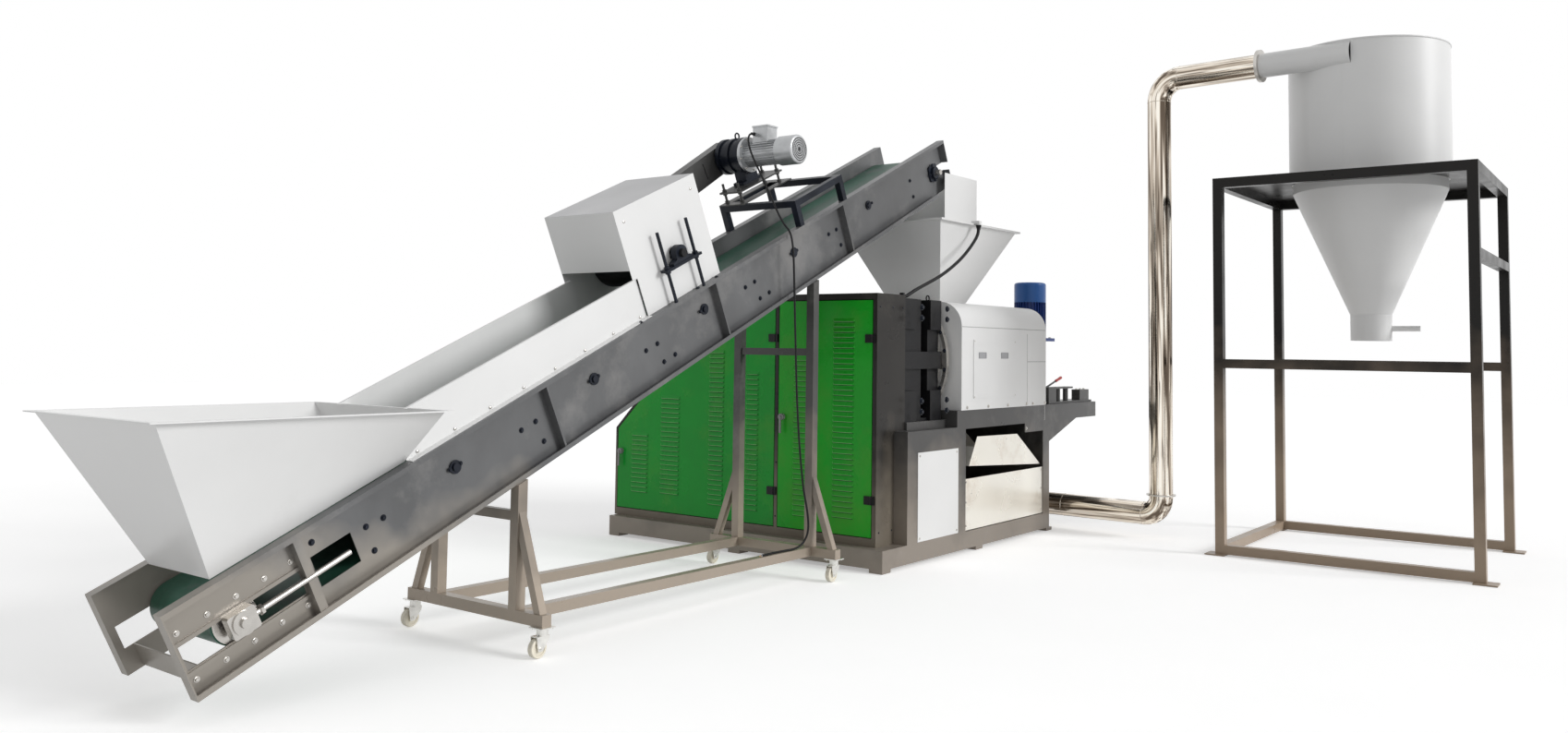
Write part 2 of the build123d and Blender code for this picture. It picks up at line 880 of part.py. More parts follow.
# Drive motor: flange, finned body, fan cowl, junction box and cable gland
def drive_motor():
    """The motor lying across the conveyor, its flange on the gearbox."""
    length = motor_y[1] - cowl_y[0]
    motor = finned_motor(
        motor_r, motor_fin, motor_fin_t, motor_fins,
        length, cowl_y[1] - cowl_y[0], cowl_r, mount_flange_r, mount_flange_t,
    )
    motor = Pos(motor_axis_x, motor_y[1], motor_axis_z) * Rot(90, 0, 0) * motor
    across = (motor_axis_x - junction_half, motor_axis_x + junction_half)
    lid_low = junction_z - junction_lid
    motor += box(across, junction_y, (motor_axis_z, lid_low))
    motor += box(shrink(across, -junction_lip), shrink(junction_y, -junction_lip), (lid_low, junction_z))
    return motor + rod_x(gland_y, gland_z, gland_r, (gland_x, motor_axis_x - junction_half + overcut))


junction_z = motor_axis_z + junction_top
gland_z = junction_z - gland_below
gland_y = junction_y[1] - gland_in
gland_x = motor_axis_x - junction_half - gland_length
parts["drive_motor"] = drive_motor()

# Chain guard beside the gearbox, a hollow case sloping down to the press drum
press_x, press_z = on_incline(press_drum_s, press_drum_h)
guard_dx = motor_axis_x - press_x
guard_dz = motor_axis_z - press_z
guard_reach = math.hypot(guard_dx, guard_dz)
guard_plane = Plane(
    origin=(press_x, guard_y[0], press_z),
    x_dir=(guard_dx, 0, guard_dz),
    z_dir=(0, 1, 0),
)


def guard_shape(inset, across):
    """A long case with chamfered ends round both shafts."""
    half = guard_w / 2 - inset
    outline = Pos(guard_reach / 2, 0) * Rectangle(guard_reach + 2 * half, 2 * half)
    outline = chamfer(outline.vertices(), half * guard_corner)
    return extrude(guard_plane.offset(across[0]) * outline, amount=across[1] - across[0])


guard_depth = guard_y[1] - guard_y[0]
guard = guard_shape(0, (0, guard_depth))
guard -= guard_shape(guard_wall, shrink((0, guard_depth), guard_wall))
shaft_hole = (guard_y[0] - overcut, guard_y[0] + guard_wall + overcut)
guard -= rod_y(press_x, press_z, press_shaft_r + shaft_hole_gap, shaft_hole)
parts["chain_guard"] = guard


# Castor trestle: two cross beams, long bars, posts, braces and ties
def underside(x):
    """Height of the conveyor's lower flange above a plan x."""
    return frame_start_z + (x - frame_start_x) * math.tan(angle) - frame_height / math.cos(angle)


def trestle_end(x, brace_top, tie_z):
    """One cross beam with its two posts, two braces and the tie between them."""
    half = tube / 2
    span = (x - half, x + half)
    reach = track_half + half
    end = box(span, (centre_y - reach, centre_y + reach), beam_z)
    tie_x = (x - tie_w / 2, x + tie_w / 2)
    end += box(tie_x, (centre_y - post_half, centre_y + post_half), (tie_z - tie_h / 2, tie_z + tie_h / 2))
    for side in (-1, 1):
        y = centre_y + side * post_half
        end += box(span, (y - half, y + half), (beam_z[0], underside(x + half) + run_gap))
        foot = (x, centre_y + side * (track_half - brace_in[0]), beam_z[1] - brace_in[1])
        end += bar(foot, (x, y + side * brace_in[2], brace_top), brace_w)
    return end


beam_z = (castor_h, castor_h + tube)
trestle = trestle_end(front_x, front_brace_top_z, front_tie_z)
trestle += trestle_end(rear_x, rear_brace_top_z, rear_tie_z)
for side in (-1, 1):
    y = centre_y + side * post_half
    trestle += box((front_x, rear_x), (y - tube / 2, y + tube / 2), beam_z)
above_flange = box((0, frame_length), (-2 * web_half, 2 * web_half), (-frame_height, frame_height))
parts["castor_trestle"] = trestle - incline * above_flange


# Castors: top plate, swivel fork and wheel
def castor_fork():
    """The fork at its swivel axis: crown, two cheeks and the axle."""
    inner = wheel_w / 2 + fork_gap
    crown_z = 2 * wheel_r + fork_gap
    front = -wheel_trail - fork_front
    fork = rod_z(0, 0, head_r, (crown_z, castor_h - plate_t - swivel_gap))
    fork += box((front, fork_back), (-inner - fork_t, inner + fork_t), (crown_z, crown_z + fork_t))
    cheek = outline_face(
        (front, crown_z + fork_t),
        (fork_back, crown_z + fork_t),
        (fork_back - fork_t, crown_z - cheek_drop[1]),
        (-wheel_trail + axle_pad, wheel_r - axle_pad),
        (-wheel_trail - axle_pad, wheel_r - axle_pad),
        (front, crown_z - cheek_drop[0]),
    )
    fork += both_sides(slab_y(cheek, (-inner - fork_t, -inner)))
    reach = inner + fork_t + axle_past
    return fork + rod_y(-wheel_trail, wheel_r, axle_r, (-reach, reach))


def castor_wheel():
    """The wheel at its fork's swivel axis, with rounded edges and dished faces."""
    wheel = rod_y(-wheel_trail, wheel_r, wheel_r, (-wheel_w / 2, wheel_w / 2))
    wheel = fillet(wheel.edges(), wheel_w / 6)
    for side in (-1, 1):
        face = side * wheel_w / 2
        dish = rod_y(-wheel_trail, wheel_r, 2 * hub_r, (face - hub_dish, face + hub_dish))
        dish -= rod_y(-wheel_trail, wheel_r, hub_r, (face - hub_dish, face + hub_dish))
        wheel -= dish
    return wheel - rod_y(-wheel_trail, wheel_r, axle_r + axle_gap, (-wheel_w, wheel_w))


castor_places = {
    "front_near": (front_x, centre_y - track_half),
    "front_far": (front_x, centre_y + track_half),
    "rear_near": (rear_x, centre_y - track_half),
    "rear_far": (rear_x, centre_y + track_half),
}
plates = Part()
for name, (x, y) in castor_places.items():
    parts["castor_fork_" + name] = Pos(x, y, 0) * castor_fork()
    parts["castor_wheel_" + name] = Pos(x, y, 0) * castor_wheel()
    side = plate_half
    plates += box((x - side, x + side), (y - side, y + side), (castor_h - plate_t, castor_h))
parts["castor_plates"] = plates

# Dryer plinth on feet
plinth = box((0, plinth_x), (0, plinth_y), plinth_z)
for x in (0, middle_foot_x, plinth_x + foot_reach - foot_w):
    for y in (0, (plinth_y - foot_w) / 2, plinth_y - foot_w):
        plinth += box((x, x + foot_w), (y, y + foot_w), (0, plinth_z[0]))
parts["plinth"] = plinth


# Cabinet with a sloped upper corner, two door openings and holes for the drive shafts
slope_y = cab_y[1] - (cab_top - chamfer_start)
face_x = cab_x[0] - door_proud
hinge_x = face_x - knuckle_r


def cabinet_outline():
    """The cabinet seen from its doors."""
    return outline_face(
        (cab_y[0], plinth_z[1]),
        (cab_y[1], plinth_z[1]),
        (cab_y[1], chamfer_start),
        (slope_y, cab_top),
        (cab_y[0], cab_top),
    )


def door_outline(y, grow):
    """A door's outline, cut along the cabinet's sloped corner."""
    size = (y[1] - y[0] + 2 * grow, door_z[1] - door_z[0] + 2 * grow)
    shape = Pos((y[0] + y[1]) / 2, (door_z[0] + door_z[1]) / 2) * Rectangle(*size)
    inset = corner_inset - grow
    drop = inset * (math.tan(math.radians(22.5)) + 0.5)
    limit = outline_face(
        (cab_y[0], plinth_z[1]),
        (cab_y[1], plinth_z[1]),
        (cab_y[1], chamfer_start - drop),
        (slope_y - inset * math.sqrt(2), cab_top),
        (cab_y[0], cab_top),
    )
    return shape & limit


def cabinet():
    """The hollow cabinet with the fixed halves of its door hinges."""
    body = slab_x(cabinet_outline(), cab_x)
    body -= slab_x(offset(cabinet_outline(), -cab_wall), shrink(cab_x, cab_wall))
    back = (cab_x[1] - cab_wall - overcut, cab_x[1] + overcut)
    body -= rod_x(main_y, main_axis_z, main_shaft_r + run_gap, back)
    body -= rod_x(centre_y, pulley_z, main_shaft_r + run_gap, back)
    for y in (right_door_y, left_door_y):
        opening = (cab_x[0] - overcut, cab_x[0] + 2 * cab_wall)
        body -= slab_x(door_outline(y, door_gap), opening)
    for y in (right_door_y, left_door_y):
        hinge_y = y[0] - door_gap / 2
        for z in hinge_z:
            body += rod_z(hinge_x, hinge_y, knuckle_r, (z - knuckle_h, z))
            body += rod_z(hinge_x, hinge_y, hinge_pin_r, (z - knuckle_h, z + knuckle_h))
            leaf_x = (face_x - leaf_t, cab_x[0])
            leaf_y = hinge_y - fixed_leaf_reach
            body += box(leaf_x, (leaf_y, hinge_y), (z - knuckle_h, z))
            edge_y = hinge_y - knuckle_r - bore_gap
            body += box(leaf_x, (leaf_y, edge_y), (z - overcut, z + knuckle_h))
    return body


# Louvres pressed outward from a door's skin, each open along its lower edge
def pressing(width, height, out, nose, back):
    """A wedge with sloping top and ends; its lower edge is at zero, its back inside the skin."""
    side = outline_face((back, height), (0, height), (-out, nose), (-out, 0), (back, 0))
    half = width / 2
    top = outline_face(
        (back, half), (0, half), (-out, half - out), (-out, out - half), (0, -half), (back, -half)
    )
    return slab_y(side, (-width / 2, width / 2)) & extrude(top, amount=height)


def louvre_places(hand):
    """Middle of each louvre's lower edge and its width, bank by bank."""
    for (y0, y1), (z0, z1) in louvre_banks[hand]:
        rows = round((z1 - z0 - louvre_h) / louvre_pitch) + 1
        for i in range(rows):
            yield Pos(face_x, (y0 + y1) / 2, z0 + i * louvre_pitch), y1 - y0


def press_louvres(leaf, hand):
    """A door with its banks of louvres."""
    t = door_skin
    hoods = []
    slots = []
    for place, width in louvre_places(hand):
        hoods.append(place * pressing(width, louvre_h, louvre_out, louvre_nose, overcut))
        hollow = pressing(width - 2 * t, louvre_h - t, louvre_out - t, louvre_nose - t / 2, t + overcut)
        slots.append(place * Pos(0, 0, -overcut) * hollow)
    return leaf + hoods - slots


def door(y, handle_z, hand):
    """A sheet door with returned edges, louvres, hinge knuckles and a swing handle."""
    outline = door_outline(y, 0)
    leaf = slab_x(outline, (face_x, face_x + door_t))
    pan = offset(outline, -door_skin, kind=Kind.INTERSECTION)
    leaf -= slab_x(pan, (face_x + door_skin, face_x + door_t + overcut))
    leaf = press_louvres(leaf, hand)
    hinge_y = y[0] - door_gap / 2
    for z in hinge_z:
        span = (z + bore_gap, z + knuckle_h)
        leaf += rod_z(hinge_x, hinge_y, knuckle_r, span)
        leaf_x = (face_x - leaf_t, face_x + overcut)
        leaf += box(leaf_x, (hinge_y, y[0] + leaf_reach), span)
        edge_y = hinge_y + knuckle_r + bore_gap
        leaf += box(leaf_x, (edge_y, y[0] + leaf_reach), (z - knuckle_h, z + knuckle_h))
        leaf -= rod_z(hinge_x, hinge_y, hinge_pin_r + pin_gap, (z, z + knuckle_h + overcut))
    handle_y = y[1] - handle_in
    leaf += rod_x(handle_y, handle_z, handle_base_r, (face_x - handle_out, face_x))
    wide, thick, drop = handle_lever
    lever_x = (face_x - handle_out - thick, face_x - handle_out + overcut)
    leaf += box(lever_x, (handle_y - wide / 2, handle_y + wide / 2), (handle_z - drop, handle_z + wide / 2))
    return leaf


main_axis_z = plinth_z[1] + main_z
parts["cabinet"] = cabinet()
parts["right_door"] = door(right_door_y, right_handle_z, "right")
parts["left_door"] = door(left_door_y, left_handle_z, "left")


# Main drive: motor on the plinth behind the cabinet, pulleys and belts inside it
def pulley(r, y, z, web_open):
    """A grooved pulley round an axis along X; a large one has a thin web with windows."""
    width = pulley_x[1] - pulley_x[0]
    wheel = Cylinder(r, width)
    for place in groove_places():
        wheel -= place * (Cylinder(r + overcut, groove_w) - Cylinder(r - groove_depth, groove_w))
    if web_open:
        hollow = Cylinder(r - pulley_rim_t, width) - Cylinder(pulley_hub_r, width)
        for side in (-1, 1):
            wheel -= Pos(0, 0, side * (pulley_web_t + width) / 2) * hollow
        middle = (r - pulley_rim_t + pulley_hub_r) / 2
        wheel -= PolarLocations(middle, pulley_windows) * Cylinder(pulley_window_r, width)
    wheel -= Cylinder(main_shaft_r + fit_gap, width + overcut)
    return Pos((pulley_x[0] + pulley_x[1]) / 2, y, z) * Rot(0, 90, 0) * wheel


def groove_places():
    """Middle of each groove along a pulley's axis."""
    pitch = (pulley_x[1] - pulley_x[0]) / (groove_count + 1)
    return [Pos(0, 0, (i - (groove_count - 1) / 2) * pitch) for i in range(groove_count)]


def belt_loop(rise):
    """The face inside a loop lying round both pulleys at a height over their rims."""
    small = Pos(main_y, main_axis_z) * Circle(small_pulley_r + rise)
    large = Pos(centre_y, pulley_z) * Circle(large_pulley_r + rise)
    return make_hull(small.edges() + large.edges())


def drive_belts():
    """The belts, one in each groove."""
    ring = belt_loop(belt_rise) - belt_loop(fit_gap - groove_depth)
    half = groove_w / 2 - fit_gap
    middle = (pulley_x[0] + pulley_x[1]) / 2
    belts = []
    for place in groove_places():
        x = middle + place.position.Z
        belts.append(slab_x(ring, (x - half, x + half)))
    return belts


def main_motor():
    """The motor on its feet, its shaft reaching through the cabinet's back."""
    motor = finned_motor(
        main_r, main_fin, main_fin_t, main_fins,
        main_x[1] - main_x[0], main_cowl, main_r + main_fin, main_r, main_fin,
    )
    motor = Pos(main_x[0], main_y, main_axis_z) * Rot(0, 90, 0) * motor
    middle = main_x[0] + (main_x[1] - main_x[0] - main_cowl) / 2
    foot_x = (middle - main_foot_half[0], middle + main_foot_half[0])
    foot_y = (main_y - main_foot_half[1], main_y + main_foot_half[1])
    motor += box(foot_x, foot_y, (plinth_z[1], plinth_z[1] + main_foot_t))
    saddle_x = (middle - main_saddle_half[0], middle + main_saddle_half[0])
    saddle_y = (main_y - main_saddle_half[1], main_y + main_saddle_half[1])
    motor += box(saddle_x, saddle_y, (plinth_z[1], main_axis_z))
    top = main_axis_z + main_r + main_fin
    box_x = (middle - main_box_half[0], middle + main_box_half[0])
    box_y = (main_y - main_box_half[1], main_y + main_box_half[1])
    motor += box(box_x, box_y, (main_axis_z, top + main_box_h))
    return motor + rod_x(main_y, main_axis_z, main_shaft_r, (pulley_x[0], main_x[0] + overcut))


small_pulley = pulley(small_pulley_r, main_y, main_axis_z, False)
large_pulley = pulley(large_pulley_r, centre_y, pulley_z, True)
parts["main_drive"] = Compound([main_motor(), small_pulley, large_pulley] + drive_belts())


# Gear housing with bosses, web, drive shaft and the clip that holds the hose's end
def gear_housing():
    """The welded housing of the thrust gear, the same on both sides."""
    far = 2 * centre_y - house_face
    boss_y = (house_boss, 2 * centre_y - house_boss)
    house = box(house_x, (house_face, far), house_z)
    for x in ((house_x[0], boss_x), (slot_x[1], house_x[1])):
        for z in ((house_z[0], house_z[0] + boss_h), (house_z[1] - boss_h, house_z[1])):
            house += box(x, boss_y, z)
    house += box(house_x, boss_y, web_z)
    slot_y = (house_boss - overcut, house_face + slot_depth)
    for z in ((house_z[0] + slot_rise, web_z[0]), (web_z[1], house_z[1] + overcut)):
        house -= box(slot_x, slot_y, z)
        house -= box(slot_x, (2 * centre_y - slot_y[1], 2 * centre_y - slot_y[0]), z)
    house += rod_x(centre_y, pulley_z, main_shaft_r, (pulley_x[0], house_x[0] + overcut))
    clip_x = (house_x[0], hose_clip_x[1])
    house += box(clip_x, hose_clip_y, (house_z[1] - overcut, hose_end_z + hose_r + nut_t))
    eye_x = (slot_x[1] + house_x[1]) / 2
    eye_y = (house_boss + house_face) / 2 + slot_depth
    return house + lifting_eye(eye_x, eye_y, house_z[1] - eye_wire)


hose_end_z = house_z[1] + hose_r + fit_gap
parts["gear_housing"] = gear_housing()
foot_y = (house_foot_y, 2 * centre_y - house_foot_y)
parts["housing_foot"] = box((cab_x[1] + fit_gap, table_x[0] - fit_gap), foot_y, (ped_top, house_z[0]))


# Round flange between housing and hood, pierced by a ring of curved windows
def ring_window(turn):
    """One curved window through the flange."""
    half = math.radians(ring_window_arc / 2)
    sector = Circle(ring_window_r[1]) - Circle(ring_window_r[0])
    reach = 2 * ring_window_r[1] * math.cos(half)
    rise = 2 * ring_window_r[1] * math.sin(half)
    wedge = outline_face((0, 0), (reach, -rise), (reach, rise))
    return Rot(0, 0, turn) * (sector & wedge)


ring_face = Circle(ring_r)
for i in range(ring_windows):
    ring_face -= ring_window((i + 0.5) * 360 / ring_windows)
ring_room = box(shrink(ring_x, -overcut), (0, 2 * centre_y), (table_z[1], hood_top - ring_below))
parts["barrel_flange"] = slab_x(Pos(centre_y, ring_z) * ring_face, ring_x) & ring_room


# Pedestal: a box of plate with a large opening that has a notched corner
def pedestal():
    """The pedestal, open below, wrapped round the cabinet's corner."""
    plan = outline_face(
        (ped_x[0], 0),
        (ped_x[1], 0),
        (ped_x[1], ped_y),
        (cab_x[1] + fit_gap, ped_y),
        (cab_x[1] + fit_gap, cab_y[0] - fit_gap),
        (ped_x[0], cab_y[0] - fit_gap),
    )
    inner = offset(plan, -ped_wall, kind=Kind.INTERSECTION)
    body = extrude(Pos(0, 0, plinth_z[1]) * plan, amount=ped_top - plinth_z[1])
    room_h = ped_top - ped_wall - plinth_z[1] + overcut
    body -= extrude(Pos(0, 0, plinth_z[1] - overcut) * inner, amount=room_h)
    body -= box(open_x, (-overcut, ped_wall + overcut), open_z)
    return body + box((notch[0], open_x[1]), (0, ped_wall), (notch[1], ped_top))


parts["pedestal"] = pedestal()
parts["pedestal_panel"] = box(panel_x, (-panel_t - fit_gap, -fit_gap), panel_z)


# Drain: a polished sheet behind the opening and the trough that leads the water out
def drain_trough(t):
    """The trough's outer form, its long walls drawn in (x, z) and moved in by t."""
    rise = 2 * t
    face = outline_face(
        (trough_low_x[0] + t, trough_low_z[0] + t),
        (trough_top_x[0] + t, trough_top_z[0] + rise),
        (trough_top_x[1] - t, trough_top_z[1] + rise),
        (trough_low_x[1] - 2 * t, trough_low_z[1] + t),
    )
    return slab_y(face, shrink(trough_y, t))


sheet = box(drain_x, (ped_wall + fit_gap, ped_wall + fit_gap + drain_t), drain_z)
trough = drain_trough(0) - drain_trough(trough_t)
hanger_y = (trough_y[1] - trough_t, trough_y[1])
trough += box(trough_top_x, hanger_y, (trough_top_z[1] - overcut, ped_top - ped_wall - fit_gap))
parts["drain_sheet"] = Compound([sheet, trough])


# Table over the pedestal with a tapered bracket at its end
def table():
    """The thick table and its two gusset plates."""
    body = box(table_x, (0, ped_y), (ped_top, table_z[1]))
    side = outline_face(
        (gusset_x[0], ped_top),
        (gusset_x[0], gusset_z),
        (ped_x[1] + fit_gap, gusset_z),
        (gusset_x[1], table_z[0]),
        (table_x[1], table_z[0]),
        (table_x[1], ped_top),
    )
    for y in ((0, gusset_t), (ped_y - gusset_t, ped_y)):
        plate = slab_y(side, y)
        inside = (gusset_x[0] - overcut, ped_x[1] + fit_gap)
        body += plate - box(inside, shrink(y, -overcut), (gusset_z - overcut, ped_top))
    return body


parts["table"] = table()


# Hood with two rounded long edges, its hatch and two recessed latches
def hood_section(t):
    """The hood's end view in (y, z), moved in by t from the outside."""
    high = hood_top - t
    low = table_z[1] + fit_gap - t
    face = Pos(centre_y, (low + high) / 2) * Rectangle(2 * (hood_half - t), high - low)
    return fillet(face.vertices().group_by(Axis.Y)[-1], hood_bend - t)


neck_y = (centre_y - neck_half, centre_y + neck_half)
hood = slab_x(hood_section(0), hood_x) - slab_x(hood_section(hood_t), shrink(hood_x, hood_t))
hood -= box(neck_x, neck_y, (hood_top - 2 * hood_t, hood_top + overcut))
parts["hood"] = hood


def hatch():
    """The hatch: a plate with a sunk middle and two latch cups with their paddles."""
    back = -fit_gap
    front = back - hatch_t
    plate = box(hatch_x, (front, back), hatch_z)
    sunk_x = (hatch_x[0] + hatch_step, hatch_x[1])
    plate -= box(sunk_x, (front - overcut, front + hatch_sink), shrink(hatch_z, hatch_step))
    floor = front + hatch_sink
    for x in latch_x:
        cup_x = (x, x + latch_size[0])
        cup_z = (latch_z, latch_z + latch_size[1])
        plate += box(cup_x, (front, floor + overcut), cup_z)
        plate -= box(shrink(cup_x, latch_wall), (front - overcut, floor), shrink(cup_z, latch_wall))
        paddle_x = shrink(cup_x, 2 * latch_wall)
        plate += box(paddle_x, (front + overcut, floor), shrink(cup_z, paddle_in))
    return plate


parts["hood_hatch"] = hatch()

# Feed hopper on the hood
feed_y = (centre_y - feed_half, centre_y + feed_half)
feed_top = (feed_x, feed_y, (feed_rim_z, feed_rim_z))
neck_z = hood_top + 2 * fit_gap
feed = hopper_shell(feed_top, (neck_x, neck_y, (neck_z, neck_z)), sheet_t)
parts["feed_hopper"] = feed + rim(feed_x, feed_y, feed_rim_z, feed_lip, feed_rim_t)


# Feed chute on a cover plate, open toward the belt, with the hose's spigot
def feed_chute():
    """Three walls of sheet on the hopper's cover plate."""
    cover_z = feed_rim_z + fit_gap
    chute_y = (centre_y - chute_half, centre_y + chute_half)
    chute = box(shrink(feed_x, -feed_lip), shrink(feed_y, -feed_lip), (cover_z, cover_z + sheet_t))
    chute += box(chute_x, chute_y, (cover_z, chute_top))
    inside_x = (chute_x[0] - overcut, chute_x[1] - sheet_t)
    chute -= box(inside_x, shrink(chute_y, sheet_t), (cover_z - overcut, chute_top + overcut))
    half_x, half_y, block_h = spigot_block
    block_y = (hose_y - half_y, feed_y[0])
    chute += box((hose_x - half_x, hose_x + half_x), block_y, (cover_z, cover_z + block_h))
    return chute + rod_z(hose_x, hose_y, hose_r + spigot_wall, (hose_z, cover_z + overcut))


hose_y = feed_y[0] - feed_lip - hose_out
hose_z = feed_rim_z - hose_below
parts["feed_chute"] = feed_chute()


# Cutter: motor on its housing and the slide with its clamp on the table
def cutter_motor():
    """The upright motor on its square flange."""
    half, flange_h = cutter_flange
    motor = finned_motor(
        cutter_r, cutter_fin, cutter_fin_t, cutter_fins,
        cutter_top - cutter_flange_z, cutter_cowl, cutter_r + cutter_fin, cutter_r + cutter_fin, flange_h,
    )
    motor += Pos(0, 0, flange_h / 2) * Box(2 * half, 2 * half, flange_h)
    return Pos(cutter_x, cutter_y, cutter_flange_z) * motor


def cutter_slide():
    """Base plate, block, raised plate on two posts, end block and clamp lever."""
    base_z = table_z[1] + fit_gap
    top_z = base_z + slide_t
    slide = box(slide_x, slide_y, (base_z, top_z))
    slide += box((slide_block_x[0], slide_block_x[1] + overcut), slide_y, (base_z, slide_block_z))
    slide += box(slide_plate_x, slide_end_y, slide_plate_z)
    middle_y = (slide_end_y[0] + slide_end_y[1]) / 2
    for share in slide_post_shares:
        x = slide_plate_x[0] + share * (slide_plate_x[1] - slide_plate_x[0])
        slide += rod_z(x, middle_y, slide_post_r, (top_z - overcut, slide_plate_z[0] + overcut))
    slide += box(slide_end_x, slide_end_y, (top_z - overcut, slide_end_z))
    root = (slide_block_x[0] + 2 * lever_w, middle_y, slide_block_z - lever_w)
    return slide + bar(root, (lever_tip[0], middle_y, lever_tip[1]), lever_w)


parts["cutter_motor"] = cutter_motor()
case_left, case_right, case_near, case_far = cutter_case
parts["cutter_housing"] = box(
    (cutter_x - case_left, cutter_x + case_right),
    (cutter_y - case_near, cutter_y + case_far),
    (table_z[1] + fit_gap, cutter_flange_z),
)
parts["cutter_slide"] = cutter_slide()


# Blower pipe in two lengths with a clamped joint
def pipe(points, bend):
    """The blower pipe along rounded corners."""
    route = FilletPolyline(*points, radius=bend)
    ring = Circle(pipe_r) - Circle(pipe_r - pipe_wall)
    return sweep(Plane(origin=route @ 0, z_dir=route % 0) * ring, path=route)


inlet_x = silo_x - silo_r + pipe_r + inlet_in
inlet_turn = math.degrees(math.atan2(riser_x - inlet_x, riser_y - inlet_y))
inlet_at = Pos(inlet_x, inlet_y, inlet_z) * Rot(0, 0, -inlet_turn)
pipe_start_x = ped_x[1] + fit_gap
lower = pipe(
    [
        (pipe_start_x, pipe_start_y, pipe_z),
        (pipe_x, pipe_start_y, pipe_z),
        (riser_x, riser_y, pipe_z),
        (riser_x, riser_y, joint_z),
    ],
    lower_bend,
)
collar = Circle(pipe_r + flange_out) - Circle(pipe_r - pipe_wall)
lower += extrude(Plane((pipe_start_x, pipe_start_y, pipe_z), z_dir=(1, 0, 0)) * collar, amount=flange_t)
parts["pipe_lower"] = lower
inlet_face = (inlet_at * Pos(0, fit_gap, 0)).position
parts["pipe_riser"] = pipe(
    [(riser_x, riser_y, joint_z + fit_gap), (riser_x, riser_y, inlet_z), tuple(inlet_face)],
    pipe_bend,
)


def clamp_ring(out, t):
    """A clamp ring round the pipe."""
    return Cylinder(pipe_r + out, t) - Cylinder(pipe_r + fit_gap, t + overcut)


clamps = Pos(riser_x, riser_y, joint_z) * clamp_ring(flange_out, clamp_t[0])
clamps += inlet_at * Rot(90, 0, 0) * clamp_ring(flange_out + clamp_out, clamp_t[1])
parts["pipe_clamps"] = clamps


# Silo: shell with a tangent inlet, lid, cone and spout
def turned(*points):
    """A round body about the silo's axis from its half section."""
    return Pos(silo_x, silo_y, 0) * revolve(Plane.XZ * outline_face(*points), Axis.Z)


def silo_shell():
    """The cylinder with its rolled rim and the inlet pipe let into its side."""
    shell = rod_z(silo_x, silo_y, silo_r, (shell_z, silo_top))
    shell += Pos(silo_x, silo_y, silo_top - silo_rim) * Torus(silo_r, silo_rim)
    inside = rod_z(silo_x, silo_y, silo_r - silo_wall, (shell_z - overcut, silo_top + overcut))
    length = inlet_y - silo_y
    middle = inlet_at * Pos(0, -length / 2, 0) * Rot(90, 0, 0)
    inlet = middle * Cylinder(pipe_r, length)
    bore = middle * Cylinder(pipe_r - pipe_wall, length + overcut)
    cavity = rod_z(silo_x, silo_y, silo_r, (shell_z - overcut, silo_top))
    return (shell - inside - bore) + ((inlet - bore) - cavity)


def silo_cone():
    """The cone with a straight neck through the deck and a flange on it."""
    outer = turned(
        (0, cone_low_z),
        (cone_low_r, cone_low_z),
        (cone_top_r, cone_top_z),
        (cone_top_r, shell_z),
        (0, shell_z),
    )
    outer += rod_z(silo_x, silo_y, silo_r + cone_flange_out, (deck_top, shell_z))
    t = silo_wall
    low = cone_low_z - overcut / 100
    high = shell_z + overcut
    return outer - turned(
        (0, low),
        (cone_low_r - t, low),
        (cone_top_r - t, cone_top_z),
        (cone_top_r - t, high),
        (0, high),
    )


def silo_spout():
    """The outlet tube with the rod of its slide gate."""
    spout = rod_z(silo_x, silo_y, cone_low_r, (spout_z, cone_low_z - fit_gap))
    spout -= rod_z(silo_x, silo_y, cone_low_r - silo_wall, (spout_z - overcut, cone_low_z))
    face = silo_y - cone_low_r
    return spout + rod_y(silo_x, gate_rod_z, gate_rod_r, (face - gate_rod_out, face + silo_wall))


deck_top = stand_top + deck_t
shell_z = deck_top + fit_gap + cone_flange_t
parts["silo_shell"] = silo_shell()
lid_z = (silo_top - lid_drop - lid_t, silo_top - lid_drop)
parts["silo_lid"] = rod_z(silo_x, silo_y, silo_r - silo_wall - fit_gap, lid_z)
parts["silo_cone"] = silo_cone()
parts["silo_spout"] = silo_spout()


# Stand: four posts, rings of square tube, foot plates and the deck
def stand():
    """The silo's stand in one welded piece."""
    w = stand_tube
    low = foot_plate_t
    xs = (stand_x[0], stand_x[1] - w)
    ys = (stand_y[0], stand_y[1] - w)
    frame = Part()
    for x in xs:
        for y in ys:
            frame += box((x, x + w), (y, y + w), (low, stand_top))
        for z in (low, mid_bar_z, stand_top - w):
            frame += box((x, x + w), stand_y, (z, z + w))
    for y in ys:
        frame += box(stand_x, (y, y + w), (stand_top - w, stand_top))
    frame += box(stand_x, (ys[1], ys[1] + w), (low, low + w))
    frame += box(stand_x, (stand_y[0], stand_y[0] + w), (upper_bar_z, upper_bar_z + w))
    for x in (xs[0] - foot_out[0], xs[1] - foot_out[0]):
        for y in (ys[0] - foot_out[1], ys[1] - foot_out_far):
            frame += box((x, x + foot_plate), (y, y + foot_plate), (0, foot_plate_t))
    return frame


parts["silo_stand"] = stand()
deck = box(stand_x, stand_y, (stand_top, deck_top))
deck -= rod_z(silo_x, silo_y, cone_top_r + deck_gap, (stand_top - overcut, deck_top + overcut))
parts["stand_deck"] = deck


